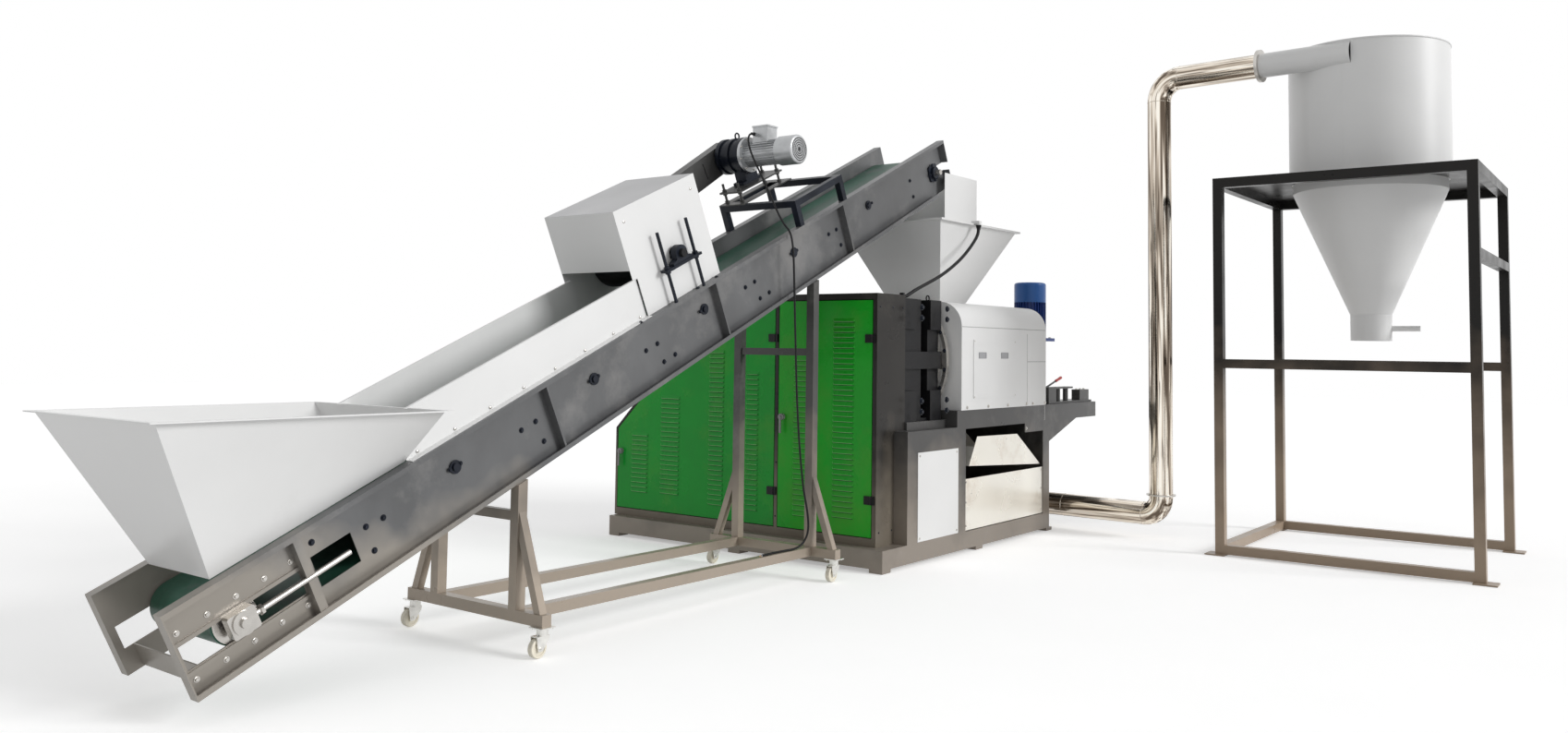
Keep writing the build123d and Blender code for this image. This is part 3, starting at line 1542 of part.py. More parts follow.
# Cords
def cord(points, r):
    """A round cord along a route, each corner as round as its runs allow."""
    runs = [Vector(*b) - Vector(*a) for a, b in zip(points, points[1:])]
    radii = []
    for before, after in zip(runs, runs[1:]):
        turn = math.radians(before.get_angle(after))
        radii.append(corner_share * min(before.length, after.length) / math.tan(turn / 2))
    route = FilletPolyline(*points, radius=radii)
    return sweep(Plane(origin=route @ 0, z_dir=route % 0) * Circle(r), path=route)


bar_top = beam_z[1] + cable_r + cable_gap
cable_points = [
    (gland_x, gland_y, gland_z),
    (gland_x - gland_run, gland_y, gland_z),
    (-613, 746, 3040),
    (-630, 738, 3002),
    (-640, 712, 2935),
    (-648, 664, 2850),
    (-658, 590, 2738),
    (-668, 512, 2612),
    (-684, 438, 2492),
    (-704, 362, 2390),
    (-716, 288, 2330),
    (-712, 268, 2205),
    (-694, 272, 2010),
    (-668, 276, 1620),
    (-628, 280, 1080),
    (-560, 281, 640),
    (-506, 279, 470),
    (-486, 282, 374),
    (-486, 286, 314),
    (-509, 294, 264),
    (-552, 302, 230),
    (-611, 310, bar_top),
    (-700, 322, bar_top),
    (-800, 326, bar_top),
    (-880, 320, bar_top),
    (-935, 322, bar_top),
]
parts["motor_cable"] = cord(cable_points, cable_r)
hose_points = [
    (hose_x, hose_y, hose_z),
    (hose_x, hose_y, hose_z - hose_run),
    (1586, 112.5, 2497),
    (1545, 111, 2455),
    (1465, 110, 2390),
    (1335, 109, 2300),
    (1170, 111, 2210),
    (985, 115, 2126),
    (800, 123, 2060),
    (655, 134, 2008),
    (575, 146, 1968),
    (532, 152, hose_end_z),
    (hose_clip_x[1] + fit_gap, 152, hose_end_z),
]
parts["feed_hose"] = cord(hose_points, hose_r)

for name, shape in parts.items():
    shape = Pos(-plan_x, -plan_y, 0) * shape
    shape.label = name
    export_step(shape, "parts/" + name + ".step")
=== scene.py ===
import json
import math

import bmesh
import bpy
from mathutils import Matrix, Vector

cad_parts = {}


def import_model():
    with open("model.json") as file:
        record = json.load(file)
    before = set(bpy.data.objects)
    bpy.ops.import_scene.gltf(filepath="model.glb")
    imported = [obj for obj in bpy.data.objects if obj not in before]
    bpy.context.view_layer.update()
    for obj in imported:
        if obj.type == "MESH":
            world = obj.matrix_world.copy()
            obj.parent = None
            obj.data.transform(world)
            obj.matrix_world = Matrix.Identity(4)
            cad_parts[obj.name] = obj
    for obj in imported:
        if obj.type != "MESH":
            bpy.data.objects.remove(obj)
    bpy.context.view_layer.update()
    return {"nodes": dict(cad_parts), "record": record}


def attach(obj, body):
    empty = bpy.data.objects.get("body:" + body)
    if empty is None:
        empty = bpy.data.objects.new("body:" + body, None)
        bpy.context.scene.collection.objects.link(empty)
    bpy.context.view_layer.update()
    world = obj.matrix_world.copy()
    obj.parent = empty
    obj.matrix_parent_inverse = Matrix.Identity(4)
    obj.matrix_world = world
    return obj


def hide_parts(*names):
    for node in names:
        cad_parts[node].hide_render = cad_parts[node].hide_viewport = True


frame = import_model()
scene = bpy.context.scene
scene.view_settings.view_transform = "Standard"

# Places are plan millimetres, counted from the near left corner of the dryer's plinth
SHIFT = Vector((343.5, 359.5, 0))
LEFT, RIGHT = Vector((-1, 0, 0)), Vector((1, 0, 0))
NEAR, FAR = Vector((0, -1, 0)), Vector((0, 1, 0))
DOWN, UP = Vector((0, 0, -1)), Vector((0, 0, 1))
SIDES = ((-1, NEAR), (1, FAR))

# The conveyor's frame: its slope, its low end and the half width over its webs
ANGLE = math.radians(24.5)
FRAME_START = Vector((-4749, 649, 473))
ALONG = Vector((math.cos(ANGLE), 0, math.sin(ANGLE)))
ABOVE = Vector((-math.sin(ANGLE), 0, math.cos(ANGLE)))
WEB = 278


def world(point):
    """A plan point in the shared frame, in metres."""
    return (Vector(point) + SHIFT) / 1000


def incline(s, y, h):
    """The plan point s along the conveyor's frame, y across it and h above its top line."""
    return FRAME_START + s * ALONG + y * FAR + h * ABOVE


def place(point, normal, along):
    """A frame at a plan point, its third axis along the normal."""
    third = Vector(normal).normalized()
    first = Vector(along)
    first = (first - first.dot(third) * third).normalized()
    turn = Matrix((first, third.cross(first), third)).transposed().to_4x4()
    turn.translation = Vector(point) + SHIFT
    return Matrix.Scale(0.001, 4) @ turn


# Camera at the photograph's viewing angle, its focal length and rows in the photograph's pixels
PICTURE_WIDTH = 1698
MIDDLE_ROW = 397
OPTICAL_ROW = 305.44
FOCAL_LENGTH = 1283.04
SENSOR = 36
YAW, PITCH, ROLL = (math.radians(v) for v in (37.14, 3.23, 0.75))
EYE = Vector((-6.6825, -4.0785, 1.55))


def add_camera():
    ahead = Vector((math.cos(YAW) * math.cos(PITCH), math.sin(YAW) * math.cos(PITCH), math.sin(PITCH)))
    level = Vector((math.sin(YAW), -math.cos(YAW), 0))
    upright = level.cross(ahead)
    view_right = math.cos(ROLL) * level + math.sin(ROLL) * upright
    view_up = math.cos(ROLL) * upright - math.sin(ROLL) * level
    view = Matrix((view_right, view_up, -ahead)).transposed().to_4x4()
    view.translation = EYE
    data = bpy.data.cameras.new("camera")
    data.sensor_width = SENSOR
    data.lens = SENSOR * FOCAL_LENGTH / PICTURE_WIDTH
    data.shift_y = -(MIDDLE_ROW - OPTICAL_ROW) / PICTURE_WIDTH
    data.clip_end = 100
    camera = bpy.data.objects.new("camera", data)
    camera.matrix_world = view
    scene.collection.objects.link(camera)
    return camera


scene.camera = add_camera()


# Materials
class Nodes:
    """The node tree of a new material, with short ways to add and join nodes."""

    def __init__(self, name):
        self.material = bpy.data.materials.new(name)
        self.material.use_nodes = True
        self.tree = self.material.node_tree
        self.shader = self.tree.nodes["Principled BSDF"]
        self.object_space = self.add("ShaderNodeTexCoord").outputs["Object"]
        self.position = self.add("ShaderNodeNewGeometry").outputs["Position"]

    def add(self, kind, **values):
        node = self.tree.nodes.new(kind)
        for name, value in values.items():
            node.inputs[name.replace("_", " ")].default_value = value
        return node

    def join(self, output, target):
        self.tree.links.new(output, target)

    def stretched(self, scale):
        mapping = self.add("ShaderNodeMapping", Scale=scale)
        self.join(self.object_space, mapping.inputs["Vector"])
        return mapping.outputs["Vector"]

    def noise(self, scale, detail=5.0, rough=0.55, vector=None):
        noise = self.add("ShaderNodeTexNoise", Scale=scale, Detail=detail, Roughness=rough)
        self.join(vector or self.object_space, noise.inputs["Vector"])
        return noise.outputs["Fac"]

    def span(self, value, low, high, to_low=0.0, to_high=1.0):
        node = self.add("ShaderNodeMapRange")
        for name, number in zip(("From Min", "From Max", "To Min", "To Max"), (low, high, to_low, to_high)):
            node.inputs[name].default_value = number
        self.join(value, node.inputs["Value"])
        return node.outputs["Result"]

    def math(self, kind, first, second):
        node = self.add("ShaderNodeMath")
        node.operation = kind
        for value, target in zip((first, second), node.inputs):
            if isinstance(value, (int, float)):
                target.default_value = value
            else:
                self.join(value, target)
        return node.outputs["Value"]

    def mix(self, share, first, second):
        node = self.add("ShaderNodeMix")
        node.data_type = "RGBA"
        self.join(share, node.inputs["Factor"])
        for value, target in ((first, node.inputs[6]), (second, node.inputs[7])):
            if isinstance(value, tuple):
                target.default_value = (*value, 1)
            else:
                self.join(value, target)
        return node.outputs[2]

    def axis(self, vector, index):
        node = self.add("ShaderNodeSeparateXYZ")
        self.join(vector, node.inputs[0])
        return node.outputs[index]

    def inside(self, low, high):
        """One inside a box of the piece's own space, else zero."""
        share = 1.0
        for index in range(3):
            value = self.axis(self.object_space, index)
            share = self.math("MULTIPLY", self.math("GREATER_THAN", value, low[index]), share)
            share = self.math("MULTIPLY", self.math("LESS_THAN", value, high[index]), share)
        return share


NOISE_LOW, NOISE_HIGH = 0.3, 0.7
GLOSS_SPREAD = 0.08
MARK_EDGE = 0.14
CHIP_EDGE = 0.02
TOP_FACING = (0.8, 0.95)


def surface(name, base, rough, metal=0.0, spread=0.1, scale=4.0, grain=(1, 1, 1), bump=0.0,
            bump_scale=150.0, marks=None, fade=None, chips=None, shine=0.5, top=None, zones=()):
    """A surface whose colour, gloss and height vary; marks, fades and zones lie over its colour.

    Marks are (tint, scale, start, strength), a fade is (tint, full height, end height, strength) and paints
    the bright floor's reflection, growing towards the bottom, chips are (tint, scale, start), a top tint is
    painted shade on faces that look up, and each zone is (tint, low corner, high corner).
    """
    n = Nodes(name)
    shader = n.shader.inputs
    shader["Metallic"].default_value = metal
    shader["Specular IOR Level"].default_value = shine
    grained = n.stretched(grain)
    field = n.noise(scale, vector=grained)
    low = tuple(c * (1 - spread) for c in base)
    high = tuple(min(1.0, c * (1 + spread)) for c in base)
    colour = n.mix(n.span(field, NOISE_LOW, NOISE_HIGH), low, high)
    smooth, dull = max(0.03, rough - GLOSS_SPREAD), min(1.0, rough + GLOSS_SPREAD)
    gloss = n.span(field, NOISE_LOW, NOISE_HIGH, smooth, dull)
    if marks:
        tint, mark_scale, start, strength = marks
        share = n.span(n.noise(mark_scale, 8.0, 0.7), start, start + MARK_EDGE, 0.0, strength)
        colour = n.mix(share, colour, tint)
        gloss = n.math("ADD", gloss, n.math("MULTIPLY", share, 0.15))
    # Painted reflection of the bright floor: the fade tint grows towards the bottom, with a wobbling edge
    if fade:
        tint, full_z, end_z, strength = fade
        wobble = n.span(n.noise(2.2, 3.0), NOISE_LOW, NOISE_HIGH, -0.25, 0.25)
        height = n.math("ADD", n.axis(n.position, 2), wobble)
        colour = n.mix(n.span(height, end_z, full_z, 0.0, strength), colour, tint)
    if chips:
        tint, chip_scale, start = chips
        share = n.span(n.noise(chip_scale, 9.0, 0.75), start, start + CHIP_EDGE)
        colour = n.mix(share, colour, tint)
    # Painted shade: faces that look up take the top tint
    if top:
        upward = n.axis(n.add("ShaderNodeNewGeometry").outputs["Normal"], 2)
        colour = n.mix(n.span(upward, *TOP_FACING), colour, top)
    for tint, low, high in zones:
        colour = n.mix(n.inside(low, high), colour, tint)
    n.join(colour, shader["Base Color"])
    n.join(gloss, shader["Roughness"])
    if bump:
        relief = n.add("ShaderNodeBump", Strength=bump, Distance=0.002)
        n.join(n.noise(bump_scale, 4.0, vector=grained), relief.inputs["Height"])
        n.join(relief.outputs["Normal"], shader["Normal"])
    return n.material


def steel_with_painted_reflections(name, bright, mid, dark, rough):
    """Polished steel whose colour holds painted reflections: long bright, brown and dark streaks that follow
    the way its surface faces, as a room would mirror in it.
    """
    n = Nodes(name)
    facing = n.add("ShaderNodeNewGeometry").outputs["Normal"]
    drift = n.add("ShaderNodeVectorMath")
    drift.operation = "ADD"
    slow = n.add("ShaderNodeMapping", Scale=(0.35, 0.35, 0.35))
    n.join(n.position, slow.inputs["Vector"])
    n.join(facing, drift.inputs[0])
    n.join(slow.outputs["Vector"], drift.inputs[1])
    reflection_bands = n.noise(2.6, 2.0, 0.6, drift.outputs["Vector"])
    colour = n.mix(n.span(reflection_bands, 0.40, 0.52), dark, mid)
    colour = n.mix(n.span(reflection_bands, 0.50, 0.62), colour, bright)
    reflection_streaks = n.noise(7.5, 1.0, 0.5, drift.outputs["Vector"])
    colour = n.mix(n.span(reflection_streaks, 0.60, 0.66, 0.0, 0.75), colour, dark)
    n.join(colour, n.shader.inputs["Base Color"])
    n.shader.inputs["Metallic"].default_value = 1.0
    n.join(n.span(reflection_bands, NOISE_LOW, NOISE_HIGH, rough, rough + 0.08), n.shader.inputs["Roughness"])
    return n.material


def zone(x, y, z):
    """A box of plan millimetres as its lower and upper corner in metres."""
    low, high = zip(x, y, z)
    return world(low), world(high)


# Tints
SMEAR = (0.30, 0.29, 0.28)
# The next three tints are painted reflections of the bright floor on the low parts of the frames, the
# conveyor's webs and the trestle
LOW_GLARE = (0.36, 0.31, 0.26)
WEB_LOW_GLARE = (0.34, 0.31, 0.27)
WARM_LOW_GLARE = (0.44, 0.37, 0.30)
WHITE = (0.77, 0.77, 0.765)
GREY = (0.36, 0.36, 0.375)
BLACK = (0.010, 0.010, 0.011)
CHROME = (0.30, 0.30, 0.30)
GREEN = (0.012, 0.40, 0.022)
SHADED_GREEN = (0.008, 0.33, 0.032)
GREEN_MARKS = ((0.11, 0.34, 0.04), 1.1, 0.5, 0.4)

# Zones: hinges and handles of the doors, latch cups of the hatch, cowl and pulleys
HINGE_Z = (486, 1631)
HINGE_HALF = 31
LATCH_X = (1394, 1780)
LATCH_LOW, LATCH_W, LATCH_H = 1494, 128, 48
LATCH_EDGE = 1


def hinge_zones(x, y):
    """Black boxes round the two hinges of a door."""
    return [(BLACK, *zone(x, y, (z - HINGE_HALF, z + HINGE_HALF))) for z in HINGE_Z]


RIGHT_DOOR_ZONES = hinge_zones((40, 86.4), (140, 212))
RIGHT_DOOR_ZONES.append((CHROME, *zone((30, 86.5), (915, 975), (900, 1080))))
LEFT_DOOR_ZONES = hinge_zones((40, 86.4), (1012, 1084))
LEFT_DOOR_ZONES.append((CHROME, *zone((30, 86.5), (2590, 2655), (545, 720))))
CABINET_ZONES = hinge_zones((60, 87.8), (990, 1032)) + hinge_zones((60, 87.8), (120, 160))
LATCH_ZONES = [
    (GREY, *zone((x - LATCH_EDGE, x + LATCH_W + LATCH_EDGE), (-10, -0.5),
                 (LATCH_LOW - LATCH_EDGE, LATCH_LOW + LATCH_H + LATCH_EDGE)))
    for x in LATCH_X
]
COWL_ZONE = ((0.022, 0.095, 0.30), *zone((3300, 3700), (300, 800), (2024, 2300)))
PULLEY_ZONE = ((0.02, 0.02, 0.021), *zone((100, 540), (-100, 2700), (100, 2300)))

# Materials of the record's slots, apart from green_paint and motor_blue: their nodes have their own
M = {
    # frame_steel grows lighter and warmer towards the bottom, a painted reflection of the bright floor; its
    # smears are stains
    "frame_steel": surface("frame_steel", (0.075, 0.074, 0.073), 0.34, 0.25, 0.2, 2.5, bump=0.04,
                           marks=(SMEAR, 1.7, 0.52, 0.3), fade=(LOW_GLARE, 0.15, 0.9, 0.7), shine=0.3),
    "white_paint": surface("white_paint", WHITE, 0.36, 0, 0.025, 1.6, bump=0.02, bump_scale=60,
                           marks=((0.64, 0.63, 0.62), 3.0, 0.62, 0.25)),
    "belt_green": surface("belt_green", (0.022, 0.085, 0.055), 0.42, 0, 0.3, 2.5, (0.3, 3, 0.3), 0.1, 300,
                          marks=((0.12, 0.13, 0.13), 2.0, 0.5, 0.6), shine=0.3),
    "drum_rubber": surface("drum_rubber", BLACK, 0.55, 0, 0.3, 5, bump=0.1, bump_scale=200, shine=0.2),
    "bright_steel": surface("bright_steel", (0.55, 0.53, 0.50), 0.28, 1, 0.15, 8, bump=0.05, bump_scale=200),
    "polished_steel": steel_with_painted_reflections("polished_steel", (0.97, 0.92, 0.83), (0.66, 0.57, 0.47),
                                   (0.13, 0.10, 0.075), 0.08),
    "dark_iron": surface("dark_iron", (0.008, 0.011, 0.019), 0.38, 0.05, 0.25, 6, bump=0.05, shine=0.25),
    "motor_silver": surface("motor_silver", (0.50, 0.51, 0.52), 0.36, 0.6, 0.12, 8, bump=0.05,
                            bump_scale=200),
    "zinc": surface("zinc", (0.74, 0.73, 0.70), 0.3, 0.8, 0.12, 20, bump=0.05, bump_scale=300),
    "wheel_cream": surface("wheel_cream", (0.80, 0.75, 0.63), 0.45, 0, 0.1, 15, bump=0.03, bump_scale=300),
    "black_cable": surface("black_cable", BLACK, 0.45, 0, 0.3, 30, bump=0.03, bump_scale=500, shine=0.2),
}

# Materials of single nodes that differ from their slot's
# The webs grow lighter and warmer towards the bottom, a painted reflection of the bright floor; the smears
# are stains
conveyor_steel = surface(
    "conveyor_steel", (0.135, 0.137, 0.140), 0.36, 0.3, 0.16, 2.2, (1, 1, 0.6), 0.05, 90,
    marks=(SMEAR, 1.5, 0.5, 0.4), fade=(WEB_LOW_GLARE, 0.45, 0.85, 0.8), shine=0.35,
)
# The stand turns brown-beige towards the bottom: painted sheen of the bright floor together with dust; the
# light chips are worn paint
stand_black = surface(
    "stand_black", (0.012, 0.011, 0.010), 0.32, 0, 0.25, 4, bump=0.03, shine=0.2,
    fade=((0.40, 0.31, 0.23), 0.35, 1.65, 0.9), chips=((0.6, 0.55, 0.5), 9.0, 0.735),
)
BY_NODE = {
    "side_frame_near": conveyor_steel,
    "side_frame_far": conveyor_steel,
    "tensioner_rails": conveyor_steel,
    "tail_plate": conveyor_steel,
    "silo_stand": stand_black,
    "stand_deck": stand_black,
    # The cabinet grows lighter and browner towards the bottom, a painted reflection of the bright floor
    "cabinet": surface(
        "cabinet_grey", (0.028, 0.026, 0.024), 0.33, 0.15, 0.2, 2.5, bump=0.04, shine=0.2,
        marks=((0.13, 0.12, 0.10), 1.6, 0.58, 0.35), fade=((0.22, 0.19, 0.15), 0.25, 0.95, 0.8),
        zones=CABINET_ZONES,
    ),
    "gear_housing": surface("gear_black", BLACK, 0.4, 0.05, 0.3, 5, bump=0.08, shine=0.2),
    # The trestle grows lighter and warmer towards the bottom, a painted reflection of the bright floor; the
    # smears are stains
    "castor_trestle": surface(
        "trestle_grey", (0.075, 0.074, 0.072), 0.34, 0.2, 0.2, 2.5, bump=0.04, shine=0.3,
        marks=(SMEAR, 1.7, 0.55, 0.3), fade=(WARM_LOW_GLARE, 0.35, 1.1, 0.85),
    ),
    # The cover is grey on faces that look up, a painted shade
    "drum_cover": surface("cover_white", WHITE, 0.34, 0, 0.03, 1.6, bump=0.02, bump_scale=60, top=GREY),
    "cutter_motor": surface("blue_motor", (0.008, 0.036, 0.19), 0.3, 0, 0.15, 3, bump=0.03, shine=0.3,
                            zones=[COWL_ZONE]),
    "main_drive": surface("belt_drive", (0.010, 0.045, 0.22), 0.3, 0, 0.15, 3, bump=0.03, shine=0.3,
                          zones=[PULLEY_ZONE]),
    "drain_sheet": surface("drain_steel", (0.93, 0.90, 0.82), 0.22, 0.35, 0.05, 1.4, bump=0.02, bump_scale=30,
                           marks=((0.62, 0.52, 0.42), 2.1, 0.56, 0.5)),
    "hood_hatch": surface("hatch_white", WHITE, 0.36, 0, 0.03, 1.6, bump=0.02, zones=LATCH_ZONES),
    "right_door": surface("right_door", GREEN, 0.26, 0, 0.12, 1.3, bump=0.02, marks=GREEN_MARKS,
                          shine=0.2, zones=RIGHT_DOOR_ZONES),
    "left_door": surface("left_door", SHADED_GREEN, 0.26, 0, 0.12, 1.3, bump=0.02, marks=GREEN_MARKS,
                         shine=0.2, zones=LEFT_DOOR_ZONES),
}

# Materials of small pieces that the solids don't have
# Painted highlight green for the lit edges of the door louvres
louvre_highlight_green = surface("louvre_highlight_green", (0.17, 0.52, 0.14), 0.3, 0, 0.2, 3, bump=0.02)
# Painted shadow green for the strips below the door louvres
louvre_shadow_green = surface("louvre_shadow_green", (0.004, 0.09, 0.010), 0.4, 0, 0.2, 3, shine=0.2)
seam_grey = surface("seam_grey", (0.34, 0.34, 0.335), 0.5, 0, 0.1, 8)
# Painted shade for the inside of grille openings and of the chain guard's slots
opening_shade_black = surface("opening_shade_black", (0.008, 0.008, 0.008), 0.7, 0, 0.2, 8, shine=0.2)
raw_copper = surface("raw_copper", (0.62, 0.27, 0.12), 0.3, 1, 0.1, 40)
red_grip = surface("red_lever", (0.45, 0.02, 0.015), 0.35, 0, 0.1, 10)

slots = {part["node"]: part["material_slot"] for part in frame["record"]["subparts"]}
for node, ob in frame["nodes"].items():
    look = BY_NODE.get(node) or M[slots[node]]
    for slot in ob.material_slots:
        slot.material = look


# Cords: the conveyor motor's lead down to the trestle, and the hose from the feed chute
def cord_curve(name, route, diameter):
    """A piece along one smooth spline that follows the route's points."""
    curve = bpy.data.curves.new(name, "CURVE")
    curve.dimensions = "3D"
    curve.bevel_depth = diameter / 2
    curve.bevel_resolution = 4
    curve.resolution_u = 10
    curve.use_fill_caps = True
    spline = curve.splines.new("NURBS")
    spline.points.add(len(route) - 1)
    for point, spot in zip(spline.points, route):
        point.co = (*world(spot), 1)
    spline.order_u = 3
    spline.use_endpoint_u = True
    ob = bpy.data.objects.new(name, curve)
    scene.collection.objects.link(ob)
    return ob


MOTOR_LEAD = [
    (-547, 750, 3061.5), (-582, 750, 3061.5), (-613, 746, 3040), (-630, 738, 3002), (-640, 712, 2935),
    (-648, 664, 2850), (-658, 590, 2738), (-668, 512, 2612), (-684, 438, 2492), (-704, 362, 2390),
    (-716, 288, 2330), (-712, 268, 2205), (-694, 272, 2010), (-668, 276, 1620), (-628, 280, 1080),
    (-560, 281, 640), (-506, 279, 470), (-486, 282, 374), (-486, 286, 314), (-509, 294, 264),
    (-552, 302, 230), (-611, 310, 217.4), (-700, 322, 217.4), (-800, 326, 217.4), (-880, 320, 217.4),
    (-935, 322, 217.4),
]
AIR_HOSE = [
    (1604, 114, 2578), (1604, 114, 2536), (1586, 112.5, 2497), (1545, 111, 2455), (1465, 110, 2390),
    (1335, 109, 2300), (1170, 111, 2210), (985, 115, 2126), (800, 123, 2060), (655, 134, 2008),
    (575, 146, 1968), (532, 152, 1949.4), (495.3, 152, 1949.4),
]
lead = cord_curve("motor_lead", MOTOR_LEAD, 0.014)
hose = cord_curve("air_hose", AIR_HOSE, 0.026)
for ob in (lead, hose):
    ob.data.materials.append(M["black_cable"])
    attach(ob, "plant")


# Shapes: lists of points and faces, in millimetres
def ring(count, r, start=0.0):
    """Pairs round a circle of radius r, the first at start degrees."""
    for i in range(count):
        turn = math.radians(360 / count * i + start)
        yield r * math.cos(turn), r * math.sin(turn)


def turned(profile, sides=20):
    """A shape turned round its third axis, from (radius, height) pairs."""
    points = [(x, y, h) for r, h in profile for x, y in ring(sides, r)]
    faces = []
    for step in range(len(profile) - 1):
        low, high = step * sides, (step + 1) * sides
        for i in range(sides):
            j = (i + 1) % sides
            faces.append((low + i, low + j, high + j, high + i))
    last = (len(profile) - 1) * sides
    faces.append(tuple(reversed(range(sides))))
    faces.append(tuple(range(last, last + sides)))
    return points, faces


def hull(points):
    """The closed shape stretched over some points."""
    bm = bmesh.new()
    for point in points:
        bm.verts.new(point)
    bmesh.ops.convex_hull(bm, input=bm.verts)
    bmesh.ops.dissolve_limit(bm, angle_limit=0.01, verts=bm.verts, edges=bm.edges)
    bm.verts.index_update()
    shape = [tuple(v.co) for v in bm.verts], [tuple(v.index for v in f.verts) for f in bm.faces]
    bm.free()
    return shape


def block(size, edge=1.5, base=0.0):
    """A box with cut edges, standing on zero of its third axis or sunk by base."""
    points = []
    for sx in (-1, 1):
        for sy in (-1, 1):
            for sz in (-1, 1):
                for keep in range(3):
                    corner = [
                        sign * (length / 2 - (0 if keep == axis else edge))
                        for axis, (sign, length) in enumerate(zip((sx, sy, sz), size))
                    ]
                    corner[2] += size[2] / 2 - base
                    points.append(tuple(corner))
    return hull(points)


def strip(length, width, height, edge):
    """A thin bar half sunk in the face it lies on."""
    return [block((length, width, height), edge, height / 2)]


def hex_bolt(r, washer=1.7):
    """A hexagon bolt head on its washer, r being the bolt's radius."""
    disc = turned([(washer * r, -0.5), (washer * r, 0.22 * r), (0.96 * washer * r, 0.3 * r)], 16)
    head = turned([(r * 1.15, 0.2 * r), (r * 1.15, 0.95 * r), (r * 1.0, 1.15 * r)], 6)
    return [disc, head]


def stud_nut(r, past=0.8):
    """A nut on its washer with the stud's end standing past it."""
    end = turned([(0.6 * r, 0), (0.6 * r, (1.15 + past) * r), (0.5 * r, (1.3 + past) * r)], 12)
    return hex_bolt(r) + [end]


def screw(r):
    """A domed screw or rivet head."""
    dome = [(0.85 * r, 0.38 * r), (0.5 * r, 0.52 * r), (0.1, 0.58 * r)]
    return [turned([(r, -0.3), (r, 0.15 * r)] + dome, 12)]


pieces = {}


def add(name, shapes, spot):
    """Adds shapes to a named piece at a place."""
    points, faces = pieces.setdefault(name, ([], []))
    for shape_points, shape_faces in shapes:
        start = len(points)
        points += [spot @ Vector(p) for p in shape_points]
        faces += [tuple(start + i for i in face) for face in shape_faces]


def finish(name, material, body="plant"):
    """Turns a named piece into an object that rides on a body."""
    points, faces = pieces.pop(name)
    mesh = bpy.data.meshes.new(name)
    mesh.from_pydata([tuple(p) for p in points], [], faces)
    mesh.shade_smooth()
    mesh.set_sharp_from_angle(angle=math.radians(35))
    mesh.materials.append(material)
    ob = bpy.data.objects.new(name, mesh)
    scene.collection.objects.link(ob)
    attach(ob, body)
    return ob


def on_web(s, depth, side=-1, out=0.0):
    """A place on the outer face of a side frame's web, depth below its top line."""
    normal = NEAR if side < 0 else FAR
    return place(incline(s, side * (WEB + out), -depth), normal, ALONG)


# Strain reliefs and the lead's bare cores
RELIEF_GAP = 0.2
CORE_IN = 0.4
CORE_RING = 3.2
CORE_SPLAY = 0.16
CORE_SLEEVE = [(1.9, -2), (1.9, 13), (1.7, 13.4), (1.2, 13.6)]
CORE_WIRE = [(1.1, 13), (1.1, 22), (0.6, 23)]


def tapered_relief(r, length, rings):
    """A rubber sleeve that narrows along the cord, with grooves round it."""
    profile = [(1.9 * r, -0.4)]
    for i in range(rings):
        at = length * (i + 1) / (rings + 1)
        wide = r * (1.85 - 0.65 * (i + 1) / rings)
        profile += [(wide, at - 1.6), (wide - 1.2, at - 1.0), (wide - 1.2, at + 1.0), (wide, at + 1.6)]
    return [turned(profile + [(1.12 * r, length)], 24)]


add("lead_relief", tapered_relief(7.0, 34.0, 4), place(Vector(MOTOR_LEAD[0]) + RELIEF_GAP * LEFT, LEFT, UP))
add("hose_relief", tapered_relief(13.0, 40.0, 3), place(AIR_HOSE[0], DOWN, RIGHT))
relief = finish("lead_relief", M["black_cable"])
finish("hose_relief", M["black_cable"])
for across, rise in ring(3, 1, 90):
    start = Vector(MOTOR_LEAD[-1]) + Vector((CORE_IN, CORE_RING * across, CORE_RING * rise))
    core = place(start, Vector((-1, CORE_SPLAY * across, CORE_SPLAY * rise)), UP)
    add("lead_cores", [turned(CORE_SLEEVE, 10)], core)
    add("core_wires", [turned(CORE_WIRE, 8)], core)
cores = finish("lead_cores", M["motor_silver"])
wires = finish("core_wires", raw_copper)
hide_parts("motor_cable")
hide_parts("feed_hose")

# Conveyor: bolts through the webs, round the idler bearings and along the tensioner
IDLERS = (1487, 2496, 3495, 4516, 5540)
IDLER_DEPTH = 150
IDLER_BOLT_STEP = 34
IDLER_FLANGE_T = 9.5
LAST_JOINT = 5000
JOINT_BOLTS = ((445, 180), (548, 181), (560, 303), (665, 303))
END_BOLTS = ((691, 92), (951, 169), (1046, 177), (949, 292), (6180, 168), (6180, 300))
HEAD_S, HEAD_DEPTH = 6538, 215
HEAD_BOLT_STEP = 62
HEAD_FLANGE_T = 14
RAIL_BOLTS = (48, 181, 312, 445, 574)
RAIL_DEPTHS = (118, 336)


